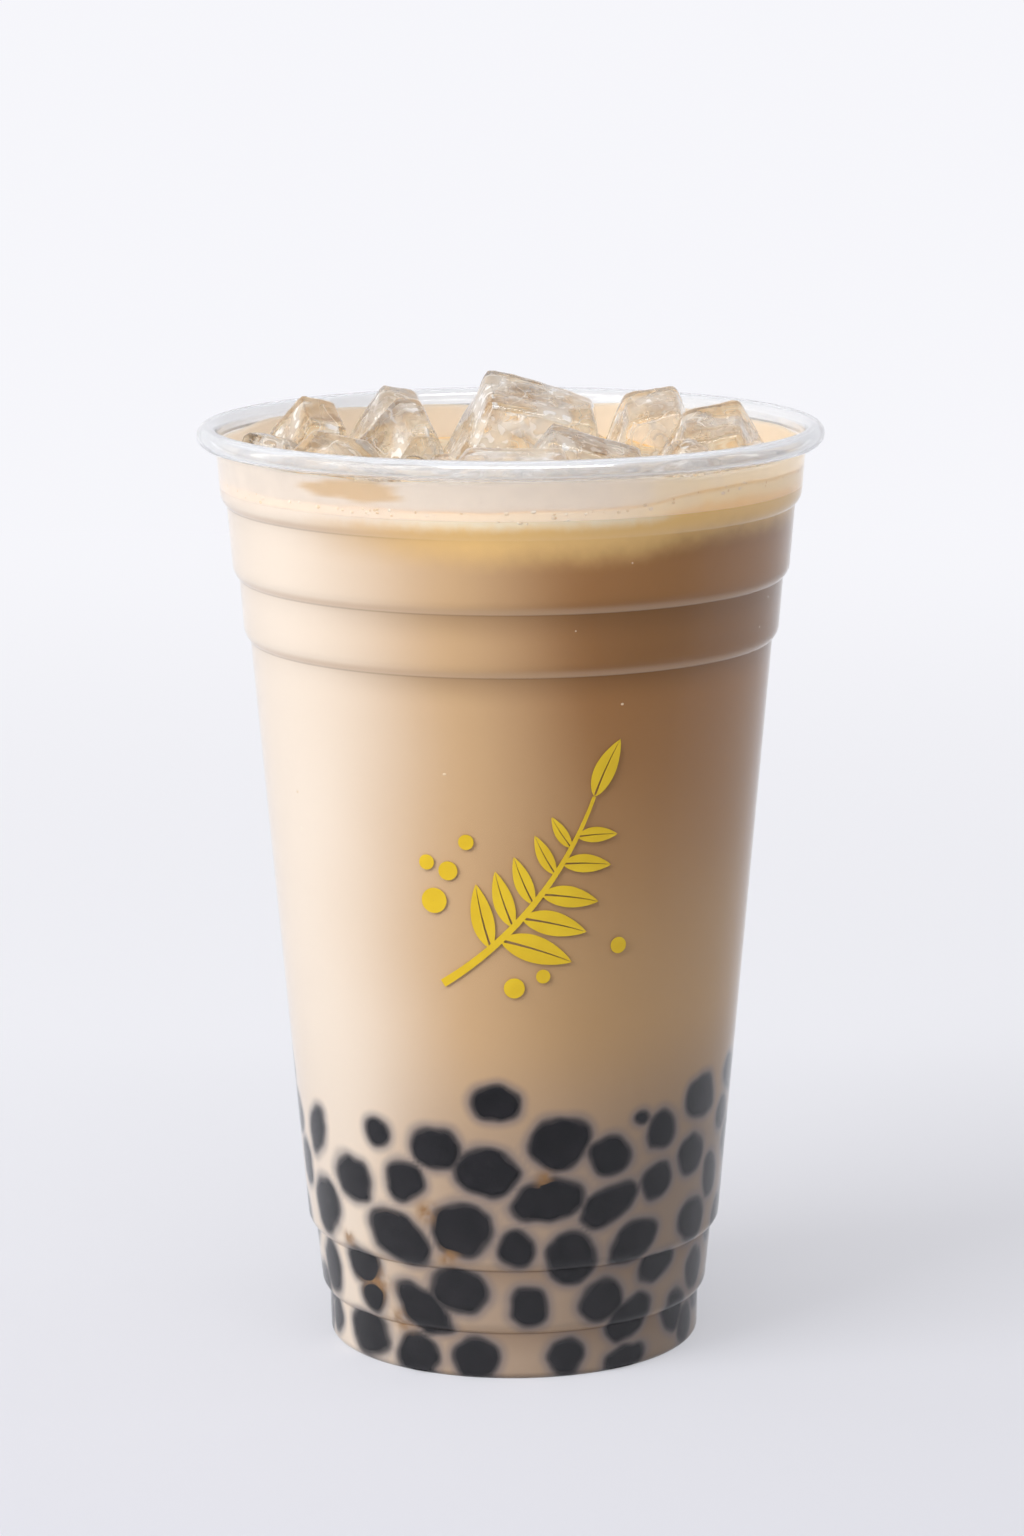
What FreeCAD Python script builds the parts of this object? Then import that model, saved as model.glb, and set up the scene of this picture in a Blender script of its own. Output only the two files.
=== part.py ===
import FreeCAD, Part

import math
import os

import Sketcher

# An iced milk drink in its clear stepped cup, with the ice that stands out of it.
# Origin: the middle of the foot, on the surface that the cup stands on. +Z is up.
# The cup is turned about Z, and its printed side faces -Y.

# Lengths are in millimetres, angles in degrees.
CUP_AND_DRINK = {
    "rim_diameter": 98.0,
    "rim_roll": 3.2,
    "rim_roll_turn": 118.0,
    "rim_tip_swell": 0.025,
    "wall": 0.45,
    "cup_height": 146.7,
    "base_diameter": 58.9,
    "collar_height": 10.1,
    "collar_taper": 0.68,
    "upper_step_height": 2.3,
    "upper_step_in": 1.05,
    "second_band_height": 9.2,
    "second_band_taper": 0.78,
    "third_band_height": 7.5,
    "third_band_taper": 0.60,
    "base_band_height": 7.6,
    "base_band_taper": 0.15,
    "lower_step_height": 2.3,
    "lower_step_in": 1.25,
    "fifth_band_height": 8.3,
    "fifth_band_taper": 0.85,
    "foot_width": 1.1,
    "foot_round": 1.3,
    "foot_slope_width": 1.4,
    "bottom_lift": 1.6,
    "level_below_rim": 7.9,
    "headroom": 30.0,
    "ice_round": 1.1,
}

# Each piece of ice is a block whose top is narrower than its bottom, with melted edges.
# bearing is counted from +X, inset from the wall at the drink's level to the block's
# middle, rise from the drink's level up to it. turn, tip and roll are its three turns.
ICE_FIELDS = ("length", "width", "height", "narrow_left", "narrow_right", "narrow_deep",
              "bearing", "inset", "rise", "turn", "tip", "roll")
ICE = {
    "ice_01": (29.0, 19.0, 20.0, 5.0, 7.0, 4.0, 62.0, 38.0, 2.3, 4.0, 11.0, 16.0),
    "ice_02": (14.5, 13.0, 14.0, 4.0, 4.0, 3.0, 159.0, 11.8, 2.5, 20.0, 12.0, 24.0),
    "ice_03": (18.0, 14.0, 15.0, 5.0, 7.0, 3.0, 125.0, 14.0, 1.8, 10.0, 10.0, 20.0),
    "ice_04": (21.0, 15.0, 16.0, 7.5, 9.5, 4.0, 150.0, 27.5, 1.6, 20.0, 4.0, 26.0),
    "ice_05": (20.0, 15.0, 15.0, 8.5, 3.0, 3.0, 50.0, 12.8, 1.0, 0.0, -10.0, 18.0),
    "ice_06": (27.5, 17.0, 17.0, 14.0, 4.5, 4.0, 5.0, 17.0, -0.4, -6.0, -12.0, 20.0),
    "ice_07": (31.0, 15.0, 13.0, 9.0, 7.0, 4.0, 269.0, 18.0, 0.2, 0.0, 1.5, 10.0),
    "ice_08": (27.0, 18.0, 16.0, 5.0, 12.0, 4.0, 226.0, 9.6, -0.8, -30.0, 9.0, 24.0),
    "ice_09": (22.0, 13.0, 13.0, 3.0, 4.0, 4.0, 312.0, 28.5, 0.5, 4.0, 18.0, 16.0),
    "ice_10": (14.0, 12.0, 13.0, 5.0, 5.0, 3.0, 319.0, 10.5, 1.0, 30.0, 4.0, 14.0),
    "ice_11": (12.0, 10.0, 11.0, 3.0, 3.0, 3.0, 350.0, 7.2, -0.2, 60.0, 6.0, 10.0),
    "ice_12": (13.0, 10.0, 12.0, 3.0, 3.0, 3.0, 177.0, 6.5, -0.2, 60.0, 10.0, 10.0),
}
BACK_SHARE = 0.7  # how much of a block's narrowing in depth is at its back

doc = FreeCAD.newDocument("iced_milk_drink")
sheet = doc.addObject("Spreadsheet::Sheet", "sizes")


def fill_sheet(values):
    """Write the named values down the first two columns of the sheet."""
    for row, (name, value) in enumerate(values.items(), start=1):
        sheet.set(f"A{row}", name)
        sheet.set(f"B{row}", str(value))
        sheet.setAlias(f"B{row}", name)
    doc.recompute()


def number(expression):
    """What an expression on the sheet's names comes to."""
    return float(sheet.evalExpression(expression.replace("sizes.", "")))


# Expressions that several pieces share.

ROLL_RADIUS = "sizes.rim_roll / 2"
ROLL_HOLLOW = "(sizes.rim_roll / 2 - sizes.wall)"
ROLL_MIDDLE = "(sizes.rim_diameter / 2 - sizes.rim_roll / 2)"
ROLL_HEIGHT = "(sizes.cup_height - sizes.rim_roll / 2)"
TIP_ROUND = "(sizes.wall / 2 + sizes.rim_tip_swell)"
LEVEL = "(sizes.cup_height - sizes.level_below_rim)"
UPPER_TURN = "((sizes.upper_step_in ^ 2 + sizes.upper_step_height ^ 2) / (2 * sizes.upper_step_in))"
LOWER_TURN = "((sizes.lower_step_in ^ 2 + sizes.lower_step_height ^ 2) / (2 * sizes.lower_step_in))"


def stepped_wall():
    """The outer face of the wall from the foot up: radius, height, radius of the turn above.

    The bands under the rim are measured down from it and those over the foot up from the
    table. The long taper between them takes what is left.
    """
    base = "sizes.base_diameter / 2"
    low = f"{base} + sizes.base_band_taper"
    fifth = f"{low} + sizes.lower_step_in"
    fifth_top = f"{fifth} + sizes.fifth_band_taper"
    fourth = f"{fifth_top} + sizes.lower_step_in"
    low_z = "sizes.base_band_height"
    fifth_z = f"{low_z} + sizes.lower_step_height"
    fifth_top_z = f"{fifth_z} + sizes.fifth_band_height"
    fourth_z = f"{fifth_top_z} + sizes.lower_step_height"
    collar_top = f"{ROLL_MIDDLE} - {ROLL_HOLLOW}"
    collar = f"{collar_top} - sizes.collar_taper"
    second_top = f"{collar} - sizes.upper_step_in"
    second = f"{second_top} - sizes.second_band_taper"
    third_top = f"{second} - sizes.upper_step_in"
    third = f"{third_top} - sizes.third_band_taper"
    fourth_top = f"{third} - sizes.upper_step_in"
    collar_z = "sizes.cup_height - sizes.collar_height"
    second_top_z = f"{collar_z} - sizes.upper_step_height"
    second_z = f"{second_top_z} - sizes.second_band_height"
    third_top_z = f"{second_z} - sizes.upper_step_height"
    third_z = f"{third_top_z} - sizes.third_band_height"
    fourth_top_z = f"{third_z} - sizes.upper_step_height"
    return [
        (base, "sizes.foot_round", None),
        (low, low_z, LOWER_TURN),
        (fifth, fifth_z, None),
        (fifth_top, fifth_top_z, LOWER_TURN),
        (fourth, fourth_z, None),
        (fourth_top, fourth_top_z, UPPER_TURN),
        (third, third_z, None),
        (third_top, third_top_z, UPPER_TURN),
        (second, second_z, None),
        (second_top, second_top_z, UPPER_TURN),
        (collar, collar_z, None),
        (collar_top, ROLL_HEIGHT, None),
    ]


def foot():
    """The underside, from the axis out to where the wall begins."""
    ring_outside = "sizes.base_diameter / 2 - sizes.foot_round"
    ring_inside = f"{ring_outside} - sizes.foot_width"
    panel = f"{ring_inside} - sizes.foot_slope_width"
    return [
        ("0", "sizes.bottom_lift", None),
        (panel, "sizes.bottom_lift", None),
        (ring_inside, "0", None),
        (ring_outside, "0", "sizes.foot_round"),
    ]


def shell_inside():
    """The inner face from the roll down to the middle of the bottom, with its turns' sides."""
    rows = []
    wall = stepped_wall()
    for below, (radius, height, _) in zip([None] + wall[:-1], wall):
        turn = below[2] if below else None
        rows.append((f"{radius} - sizes.wall", height, turn, -1))
    rows.reverse()
    rows[-1] = rows[-1][:2] + ("(sizes.foot_round - sizes.wall)", -1)
    for radius, height, _ in reversed(foot()):
        above = "sizes.wall" if height == "0" else f"{height} + sizes.wall"
        rows.append((radius, above, None, 1))
    return rows


def rolled_rim():
    """The curl at the top: over its hollow, round its tip and back over its outside."""
    hollow_end = roll_point(ROLL_HOLLOW)
    outer_end = roll_point(ROLL_RADIUS)
    return [
        (f"{ROLL_MIDDLE} - {ROLL_HOLLOW}", ROLL_HEIGHT, ROLL_HOLLOW, -1),
        (ROLL_MIDDLE, f"{ROLL_HEIGHT} + {ROLL_HOLLOW}", ROLL_HOLLOW, -1),
        (f"{ROLL_MIDDLE} + {ROLL_HOLLOW}", ROLL_HEIGHT, ROLL_HOLLOW, -1),
        (*hollow_end, TIP_ROUND, 1),
        (*outer_end, ROLL_RADIUS, 1),
        (f"{ROLL_MIDDLE} + {ROLL_RADIUS}", ROLL_HEIGHT, ROLL_RADIUS, 1),
        (ROLL_MIDDLE, "sizes.cup_height", ROLL_RADIUS, 1),
    ]


def roll_point(radius):
    """Where the curl ends, at a radius from its own middle."""
    across = f"{ROLL_MIDDLE} + {radius} * cos(sizes.rim_roll_turn)"
    up = f"{ROLL_HEIGHT} - {radius} * sin(sizes.rim_roll_turn)"
    return across, up


def turned_body(label, corners):
    """A body made by turning a closed profile about Z.

    Each corner is radius, height, radius of the arc that follows or None, and the side
    on which that arc swells: 1 to the right of the way, -1 to its left.
    """
    body = doc.addObject("PartDesign::Body", label)
    sketch = body.newObject("Sketcher::SketchObject", f"{label}_profile")
    plane = next(f for f in body.Origin.OriginFeatures if f.Role == "XZ_Plane")
    sketch.AttachmentSupport = [(plane, "")]
    sketch.MapMode = "FlatFace"
    draw_profile(sketch, corners)
    turned = body.newObject("PartDesign::Revolution", f"{label}_turned")
    turned.Profile = sketch
    turned.ReferenceAxis = (sketch, ["V_Axis"])
    turned.Angle = 360
    body.Label = label
    return body


def draw_profile(sketch, corners):
    """Draw a closed profile and tie each of its corners to the sheet."""
    spots = [FreeCAD.Vector(number(r), number(z), 0) for r, z, _, _ in corners]
    after = spots[1:] + spots[:1]
    for start, end, (_, _, arc, side) in zip(spots, after, corners):
        if arc is None:
            sketch.addGeometry(Part.LineSegment(start, end))
        else:
            sketch.addGeometry(Part.Arc(start, arc_middle(start, end, number(arc), side), end))
    ends = [end_numbers(sketch, index, spot) for index, spot in enumerate(spots)]
    for index, (radius, height, arc, _) in enumerate(corners):
        following = (index + 1) % len(corners)
        joint = (index, ends[index][1], following, ends[following][0])
        sketch.addConstraint(Sketcher.Constraint("Coincident", *joint))
        pin(sketch, "DistanceX", index, ends[index][0], radius)
        pin(sketch, "DistanceY", index, ends[index][0], height)
        if arc is not None:
            tie = sketch.addConstraint(Sketcher.Constraint("Radius", index, number(arc)))
            sketch.setExpression(f"Constraints[{tie}]", arc)


def arc_middle(start, end, radius, side):
    """The middle of the shorter arc between two points."""
    chord = end - start
    rise = radius - math.sqrt(max(radius ** 2 - (chord.Length / 2) ** 2, 0))
    right = FreeCAD.Vector(chord.y, -chord.x, 0).normalize()
    return (start + end) / 2 + right * (rise * side)


def end_numbers(sketch, piece, start):
    """The point numbers of a line's or arc's ends, first the one that lies at start."""
    first, last = sketch.getPoint(piece, 1), sketch.getPoint(piece, 2)
    if first.distanceToPoint(start) < last.distanceToPoint(start):
        return 1, 2
    return 2, 1


def pin(sketch, kind, piece, end, expression):
    """Measure a point from the origin along one axis. A zero lies on the axis itself."""
    if expression == "0":
        axis = -2 if kind == "DistanceX" else -1
        sketch.addConstraint(Sketcher.Constraint("PointOnObject", piece, end, axis))
        return
    value = number(expression)
    tie = sketch.addConstraint(Sketcher.Constraint(kind, -1, 1, piece, end, value))
    sketch.setExpression(f"Constraints[{tie}]", expression)


def cup_corners():
    """The whole profile of the cup, counterclockwise from the middle of its underside."""
    under = [(r, z, arc, 1) for r, z, arc in foot()]
    outside = [(r, z, arc, 1) for r, z, arc in stepped_wall()[:-1]]
    return under + outside + rolled_rim() + shell_inside()


def cavity_corners():
    """The space that the cup encloses, carried up past its rim."""
    top = "sizes.cup_height + sizes.headroom"
    inside = shell_inside()
    return [("0", top, None, 1), (inside[0][0], top, None, 1)] + inside


def boolean(kind, label, base, tool):
    """A Part::Cut or Part::Common of two objects."""
    result = doc.addObject(kind, label)
    result.Base = base
    result.Tool = tool
    result.Label = label
    return result


def gathered(label, pieces):
    """Several objects as one tool for a boolean."""
    group = doc.addObject("Part::Compound", label)
    group.Links = pieces
    return group


def ice_block(label, cavity, earlier):
    """One piece of ice, kept inside the cup and clear of the pieces laid before it."""
    def own(field):
        return f"sizes.{label}_{field}"

    block = doc.addObject("Part::Wedge", f"{label}_block")
    half_length, half_width = f"{own('length')} / 2", f"{own('width')} / 2"
    block.setExpression("Xmin", f"-{half_length}")
    block.setExpression("Xmax", half_length)
    block.setExpression("X2min", f"-{half_length} + {own('narrow_left')}")
    block.setExpression("X2max", f"{half_length} - {own('narrow_right')}")
    block.setExpression("Zmin", f"-{half_width}")
    block.setExpression("Zmax", half_width)
    block.setExpression("Z2min", f"-{half_width} + {own('narrow_deep')} * {BACK_SHARE}")
    block.setExpression("Z2max", f"{half_width} - {own('narrow_deep')} * (1 - {BACK_SHARE})")
    block.setExpression("Ymin", f"-{own('height')} / 2")
    block.setExpression("Ymax", f"{own('height')} / 2")
    place_ice(block, own, cavity)
    doc.recompute()
    melted = doc.addObject("Part::Fillet", f"{label}_melted")
    melted.Base = block
    melt = number("sizes.ice_round")
    melted.Edges = [(edge, melt, melt) for edge in range(1, len(block.Shape.Edges) + 1)]
    if not earlier:
        return boolean("Part::Common", label, melted, cavity)
    kept = boolean("Part::Common", f"{label}_kept", melted, cavity)
    return boolean("Part::Cut", label, kept, gathered(f"{label}_neighbours", earlier))


def place_ice(block, own, cavity):
    """Bind where a block lies and how it is turned."""
    level_radius = f"({ROLL_MIDDLE} - {ROLL_RADIUS})"
    reach = f"({level_radius} - {own('inset')})"
    across = f"{reach} * cos({own('bearing')})"
    along = f"{reach} * sin({own('bearing')})"
    up = f"{LEVEL} + {own('rise')}"
    # A wedge is made with its height along Y: a quarter turn stands it up.
    turns = f"{own('turn')}; {own('tip')}; 90 + {own('roll')}"
    block.setExpression(
        "Placement",
        f"create(<<placement>>; create(<<vector>>; {across}; {along}; {up}); "
        f"create(<<rotation>>; {turns}))",
    )


def build():
    """Make every piece and return those that are written out."""
    cup = turned_body("cup", cup_corners())
    cavity = turned_body("cavity", cavity_corners())
    ice = []
    for label in ICE:
        ice.append(ice_block(label, cavity, list(ice)))
    below_level = doc.addObject("Part::Cylinder", "below_level")
    below_level.setExpression("Radius", "sizes.rim_diameter / 2")
    below_level.setExpression("Height", LEVEL)
    fill = boolean("Part::Common", "fill", cavity, below_level)
    drink = boolean("Part::Cut", "drink", fill, gathered("all_ice", ice))
    doc.recompute()
    return [cup, drink] + ice


def check(pieces):
    """Stop if any object failed or any piece isn't a sound solid."""
    for item in doc.Objects:
        if "Invalid" in item.State or "Error" in item.State:
            raise RuntimeError(f"{item.Name} failed: {item.State}")
    for piece in pieces:
        shape = piece.Shape
        if shape.isNull() or not shape.isValid():
            raise RuntimeError(f"{piece.Label} has no sound shape")
        print(f"{piece.Label}: {len(shape.Solids)} solid, {shape.Volume / 1000:.2f} ml")


fill_sheet({**CUP_AND_DRINK, **{
    f"{piece}_{field}": value
    for piece, row in ICE.items()
    for field, value in zip(ICE_FIELDS, row)
}})
parts = build()
check(parts)
os.makedirs("parts", exist_ok=True)
for part in parts:
    part.Shape.exportStep(f"parts/{part.Label}.step")
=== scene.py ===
"""An iced milk coffee with tapioca pearls, in its clear stepped cup.

Lengths are in millimetres until a mesh is written, which is in metres. The cup stands on
Z = 0 with its axis on Z, and its printed side faces -Y. An angle "across" is counted in
degrees from the middle of the printed side, towards +X.
"""

import logging
import math
import random
from contextlib import contextmanager
from dataclasses import dataclass
from enum import Enum
from functools import cached_property
from typing import Iterable, Iterator, NamedTuple, Sequence

import bmesh
import bpy
import numpy as np
from mathutils import Euler, Matrix, Vector, noise
from mathutils.bvhtree import BVHTree


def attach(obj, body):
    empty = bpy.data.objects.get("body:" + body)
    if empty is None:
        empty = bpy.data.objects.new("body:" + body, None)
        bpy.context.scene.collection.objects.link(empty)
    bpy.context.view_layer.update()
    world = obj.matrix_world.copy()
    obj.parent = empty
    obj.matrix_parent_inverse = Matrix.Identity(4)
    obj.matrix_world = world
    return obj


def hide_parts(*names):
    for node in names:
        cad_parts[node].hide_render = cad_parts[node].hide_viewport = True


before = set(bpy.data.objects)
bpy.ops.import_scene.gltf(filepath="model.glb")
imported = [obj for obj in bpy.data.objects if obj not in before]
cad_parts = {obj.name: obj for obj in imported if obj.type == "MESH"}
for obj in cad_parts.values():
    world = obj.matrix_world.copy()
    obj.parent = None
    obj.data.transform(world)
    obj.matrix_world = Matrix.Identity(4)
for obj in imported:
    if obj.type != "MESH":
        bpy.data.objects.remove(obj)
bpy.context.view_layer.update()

METRE = 0.001  # one millimetre
SEAM = 1e-6  # points nearer to each other than this, in metres, are one
BODY = "root"
FRONT = -90.0  # the bearing of the printed side, in degrees from +X

log = logging.getLogger("iced_drink")

Point2 = tuple[float, float]
Point3 = tuple[float, float, float]
Colour = tuple[float, float, float, float]

WHITE: Colour = (1.0, 1.0, 1.0, 1.0)
BACKDROP: Colour = (0.925, 0.925, 0.965, 1.0)


class Slot(Enum):
    """The finishes that the record names."""

    PLASTIC = "clear_plastic"
    MILK = "milk_drink"
    ICE = "ice"
    TAPIOCA = "tapioca"
    INK = "print_ink"


def paint(red: float, green: float, blue: float) -> Colour:
    """A linear colour from the 0 to 255 numbers of a paint chart.

    Args:
        red: The red number.
        green: The green number.
        blue: The blue number.

    Returns:
        The colour with an alpha of 1.
    """
    shares = [value / 255 for value in (red, green, blue)]
    linear = [s / 12.92 if s <= 0.04045 else ((s + 0.055) / 1.055) ** 2.4 for s in shares]
    return (*linear, 1.0)


def smooth(value: np.ndarray, low: float, high: float) -> np.ndarray:
    """A soft step.

    Args:
        value: What it is read at.
        low: Where it is 0.
        high: Where it is 1, which may be the smaller of the two.

    Returns:
        The step, from 0 to 1.
    """
    share = np.clip((value - low) / (high - low), 0.0, 1.0)
    return share * share * (3.0 - 2.0 * share)


# --- Nodes written as expressions -------------------------------------------------------


class Value:
    """A socket's number, which Python's operators carry on through Math nodes."""

    def __init__(self, graph: "Graph", socket: bpy.types.NodeSocket) -> None:
        """Wrap a socket of a graph."""
        self.graph = graph
        self.socket = socket

    def _maths(self, operation: str, *terms: "Value | float") -> "Value":
        """One Math node on up to three terms."""
        made = self.graph.node("ShaderNodeMath", {"operation": operation}, dict(enumerate(terms)))
        return Value(self.graph, made.outputs[0])

    def __add__(self, other: "Value | float") -> "Value":
        """The sum."""
        return self._maths("ADD", self, other)

    def __radd__(self, other: float) -> "Value":
        """The sum with a number first."""
        return self._maths("ADD", other, self)

    def __sub__(self, other: "Value | float") -> "Value":
        """The difference."""
        return self._maths("SUBTRACT", self, other)

    def __rsub__(self, other: float) -> "Value":
        """The difference from a number."""
        return self._maths("SUBTRACT", other, self)

    def __mul__(self, other: "Value | float") -> "Value":
        """The product."""
        return self._maths("MULTIPLY", self, other)

    def __rmul__(self, other: float) -> "Value":
        """The product with a number first."""
        return self._maths("MULTIPLY", other, self)

    def __truediv__(self, other: "Value | float") -> "Value":
        """The quotient."""
        return self._maths("DIVIDE", self, other)

    def __rtruediv__(self, other: float) -> "Value":
        """The quotient of a number by it."""
        return self._maths("DIVIDE", other, self)

    def of(self, operation: str) -> "Value":
        """A function of one number, such as COSINE or ROUND."""
        return self._maths(operation, self)

    def most(self, other: "Value | float") -> "Value":
        """The larger of the two."""
        return self._maths("MAXIMUM", self, other)

    def step(self, low: float, high: float) -> "Value":
        """A soft step.

        Args:
            low: Where it is 0.
            high: Where it is 1, which may be the smaller of the two.

        Returns:
            The step, from 0 to 1.
        """
        return self.graph.value("ShaderNodeMapRange", 0, {"interpolation_type": "SMOOTHSTEP"}, {
            "Value": self, "From Min": min(low, high), "From Max": max(low, high),
            "To Min": float(low > high), "To Max": float(low <= high)})

    def between(self, start: float, full: float, fading: float, end: float) -> "Value":
        """A soft band, which is 0 at start, 1 from full to fading and 0 again at end."""
        return self.step(start, full) * self.step(end, fading)


class Graph:
    """A node tree that is written as calls."""

    def __init__(self, tree: bpy.types.NodeTree) -> None:
        """Start from an empty tree."""
        self.tree = tree
        tree.nodes.clear()

    def node(self, kind: str, settings: dict | None = None,
             inputs: dict | None = None) -> bpy.types.Node:
        """Add a node.

        Args:
            kind: The node's type.
            settings: Its own settings, which are made first.
            inputs: The values or links of its sockets, by name or number.

        Returns:
            The node.
        """
        made = self.tree.nodes.new(kind)
        for name, value in (settings or {}).items():
            setattr(made, name, value)
        for key, value in (inputs or {}).items():
            source = value.socket if isinstance(value, Value) else value
            if isinstance(source, bpy.types.NodeSocket):
                self.tree.links.new(source, made.inputs[key])
            else:
                made.inputs[key].default_value = source
        return made

    def value(self, kind: str, output: str | int, settings: dict | None = None,
              inputs: dict | None = None) -> Value:
        """Add a node and take one of its outputs."""
        return Value(self, self.node(kind, settings, inputs).outputs[output])

    def axes(self, vector: Value) -> tuple[Value, Value, Value]:
        """The three parts of a vector."""
        split = self.node("ShaderNodeSeparateXYZ", inputs={0: vector})
        return tuple(Value(self, output) for output in split.outputs)

    def vector(self, x: "Value | float", y: "Value | float", z: "Value | float") -> Value:
        """A vector from its three parts."""
        return self.value("ShaderNodeCombineXYZ", 0, inputs={0: x, 1: y, 2: z})

    def vector_maths(self, operation: str, inputs: dict) -> Value:
        """One Vector Math node."""
        return self.value("ShaderNodeVectorMath", 0, {"operation": operation}, inputs)

    def ray(self, kind: str) -> Value:
        """1 for rays of one kind, such as Camera or Glossy, and 0 for all others."""
        return self.value("ShaderNodeLightPath", f"Is {kind} Ray")


class Shades(Graph):
    """The nodes of one material."""

    def __init__(self, name: str) -> None:
        """Start an empty material.

        Args:
            name: Its name.
        """
        self.material = bpy.data.materials.new(name)
        self.material.use_nodes = True
        super().__init__(self.material.node_tree)

    def spot(self) -> Value:
        """The place on the object, in millimetres."""
        place = self.value("ShaderNodeTexCoord", "Object")
        return self.vector_maths("SCALE", {0: place, "Scale": 1 / METRE})

    def grain(self, spot: Value, size: float, detail: float, warp: float = 0.0) -> Value:
        """Soft noise from 0 to 1.

        Args:
            spot: Where it is read, in millimetres.
            size: How large one patch of it is.
            detail: How many finer layers it has.
            warp: How far it is pulled about.

        Returns:
            The noise.
        """
        return self.value("ShaderNodeTexNoise", 0, inputs={
            "Vector": spot, "Scale": 1 / size, "Detail": detail, "Distortion": warp})

    def measured(self, name: str) -> Value:
        """A number that the mesh holds for each of its points."""
        return self.value("ShaderNodeAttribute", "Fac", {"attribute_name": name})

    def blend(self, share: Value | float, first: Value | Colour, second: Value | Colour) -> Value:
        """A mix of two colours."""
        return self.value("ShaderNodeMix", 2, {"data_type": "RGBA"},
                          {0: share, 6: first, 7: second})

    def bump(self, height: Value, distance: float, strength: float) -> Value:
        """A normal from a height, with its distance in millimetres."""
        return self.value("ShaderNodeBump", 0, inputs={
            "Height": height, "Distance": distance * METRE, "Strength": strength})

    def principled(self, **inputs: object) -> Value:
        """A Principled shader. An underscore in a name stands for a space."""
        named = {name.replace("_", " "): value for name, value in inputs.items()}
        return self.value("ShaderNodeBsdfPrincipled", 0, inputs=named)

    def plain(self, kind: str, colour: Colour) -> Value:
        """A shader of one colour, such as BsdfTransparent or Emission."""
        return self.value(f"ShaderNode{kind}", 0, inputs={"Color": colour})

    def mixed(self, share: Value | float, first: Value, second: Value) -> Value:
        """A mix of two shaders."""
        return self.value("ShaderNodeMixShader", 0, inputs={0: share, 1: first, 2: second})

    def lets_lamps_through(self, shader: Value, tint: Colour) -> Value:
        """Glass that rays from lamps, and soft light, pass straight through."""
        passing = self.ray("Shadow").most(self.ray("Diffuse"))
        return self.mixed(passing, shader, self.plain("BsdfTransparent", tint))

    def close(self, shader: Value) -> bpy.types.Material:
        """Give the shader to the output and hand over the material."""
        self.node("ShaderNodeOutputMaterial", inputs={"Surface": shader})
        return self.material


class Forming(Graph):
    """A Geometry Nodes tree with named inputs, which is run once to make a mesh."""

    crease = 24.0  # edges that turn by more degrees than this stay sharp

    def __init__(self, name: str) -> None:
        """Start a tree with a geometry going in and one coming out.

        Args:
            name: Its name.
        """
        super().__init__(bpy.data.node_groups.new(name, "GeometryNodeTree"))
        for way in ("INPUT", "OUTPUT"):
            self.tree.interface.new_socket(
                name="Geometry", in_out=way, socket_type="NodeSocketGeometry")
        self.entry = self.tree.nodes.new("NodeGroupInput")
        self.start = Value(self, self.entry.outputs["Geometry"])

    def named(self, label: str, kind: str, default: float | int) -> Value:
        """Add a named input.

        Args:
            label: Its name.
            kind: Float or Int.
            default: Its value unless a run gives another.

        Returns:
            The number it hands to the tree.
        """
        socket = self.tree.interface.new_socket(
            name=label, in_out="INPUT", socket_type=f"NodeSocket{kind}")
        socket.default_value = default
        return Value(self, self.entry.outputs[label])

    def held(self, name: str) -> Value:
        """A vector that each point of the geometry holds."""
        return self.value("GeometryNodeInputNamedAttribute", "Attribute",
                          {"data_type": "FLOAT_VECTOR"}, {"Name": name})

    def close(self, geometry: Value, material: bpy.types.Material) -> None:
        """Turn instances into mesh, smooth and dress it, and give it to the output.

        Args:
            geometry: What the tree has made.
            material: The finish of all its faces.
        """
        real = self.value("GeometryNodeRealizeInstances", 0, inputs={0: geometry})
        soft = self.value("GeometryNodeSetShadeSmooth", 0, inputs={0: real})
        angle = self.value("GeometryNodeInputMeshEdgeAngle", "Unsigned Angle")
        bent = self.value("FunctionNodeCompare", 0, {"data_type": "FLOAT"},
                          {"A": angle, "B": math.radians(self.crease)})
        creased = self.value("GeometryNodeSetShadeSmooth", 0, {"domain": "EDGE"}, {
            "Geometry": soft, "Selection": bent, "Shade Smooth": False})
        dressed = self.value("GeometryNodeSetMaterial", 0,
                             inputs={"Geometry": creased, "Material": material})
        self.node("NodeGroupOutput", inputs={"Geometry": dressed})

    def run(self, name: str, mesh: bpy.types.Mesh, sizes: dict | None = None) -> bpy.types.Object:
        """Run the tree on a mesh.

        Args:
            name: The name of the piece it makes.
            mesh: What goes in.
            sizes: Values for the named inputs.

        Returns:
            The piece, as a plain mesh.
        """
        piece = placed(name, mesh)
        modifier = piece.modifiers.new("form", "NODES")
        modifier.node_group = self.tree
        for item in self.tree.interface.items_tree:
            if item.in_out == "INPUT" and item.name in (sizes or {}):
                modifier[item.identifier] = sizes[item.name]
        return applied(piece)


# --- Meshes -----------------------------------------------------------------------------


def placed(name: str, data: bpy.types.ID) -> bpy.types.Object:
    """Put a mesh, a lamp or a camera into the scene."""
    made = bpy.data.objects.new(name, data)
    bpy.context.scene.collection.objects.link(made)
    return made


def applied(piece: bpy.types.Object) -> bpy.types.Object:
    """Turn a piece and its modifiers into a plain mesh.

    Args:
        piece: The piece, whose modifiers go.

    Returns:
        The same piece.
    """
    graph = bpy.context.evaluated_depsgraph_get()
    mesh = bpy.data.meshes.new_from_object(
        piece.evaluated_get(graph), preserve_all_data_layers=True, depsgraph=graph)
    piece.modifiers.clear()
    old = piece.data
    piece.data = mesh
    bpy.data.meshes.remove(old)
    mesh.name = piece.name
    return piece


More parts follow.
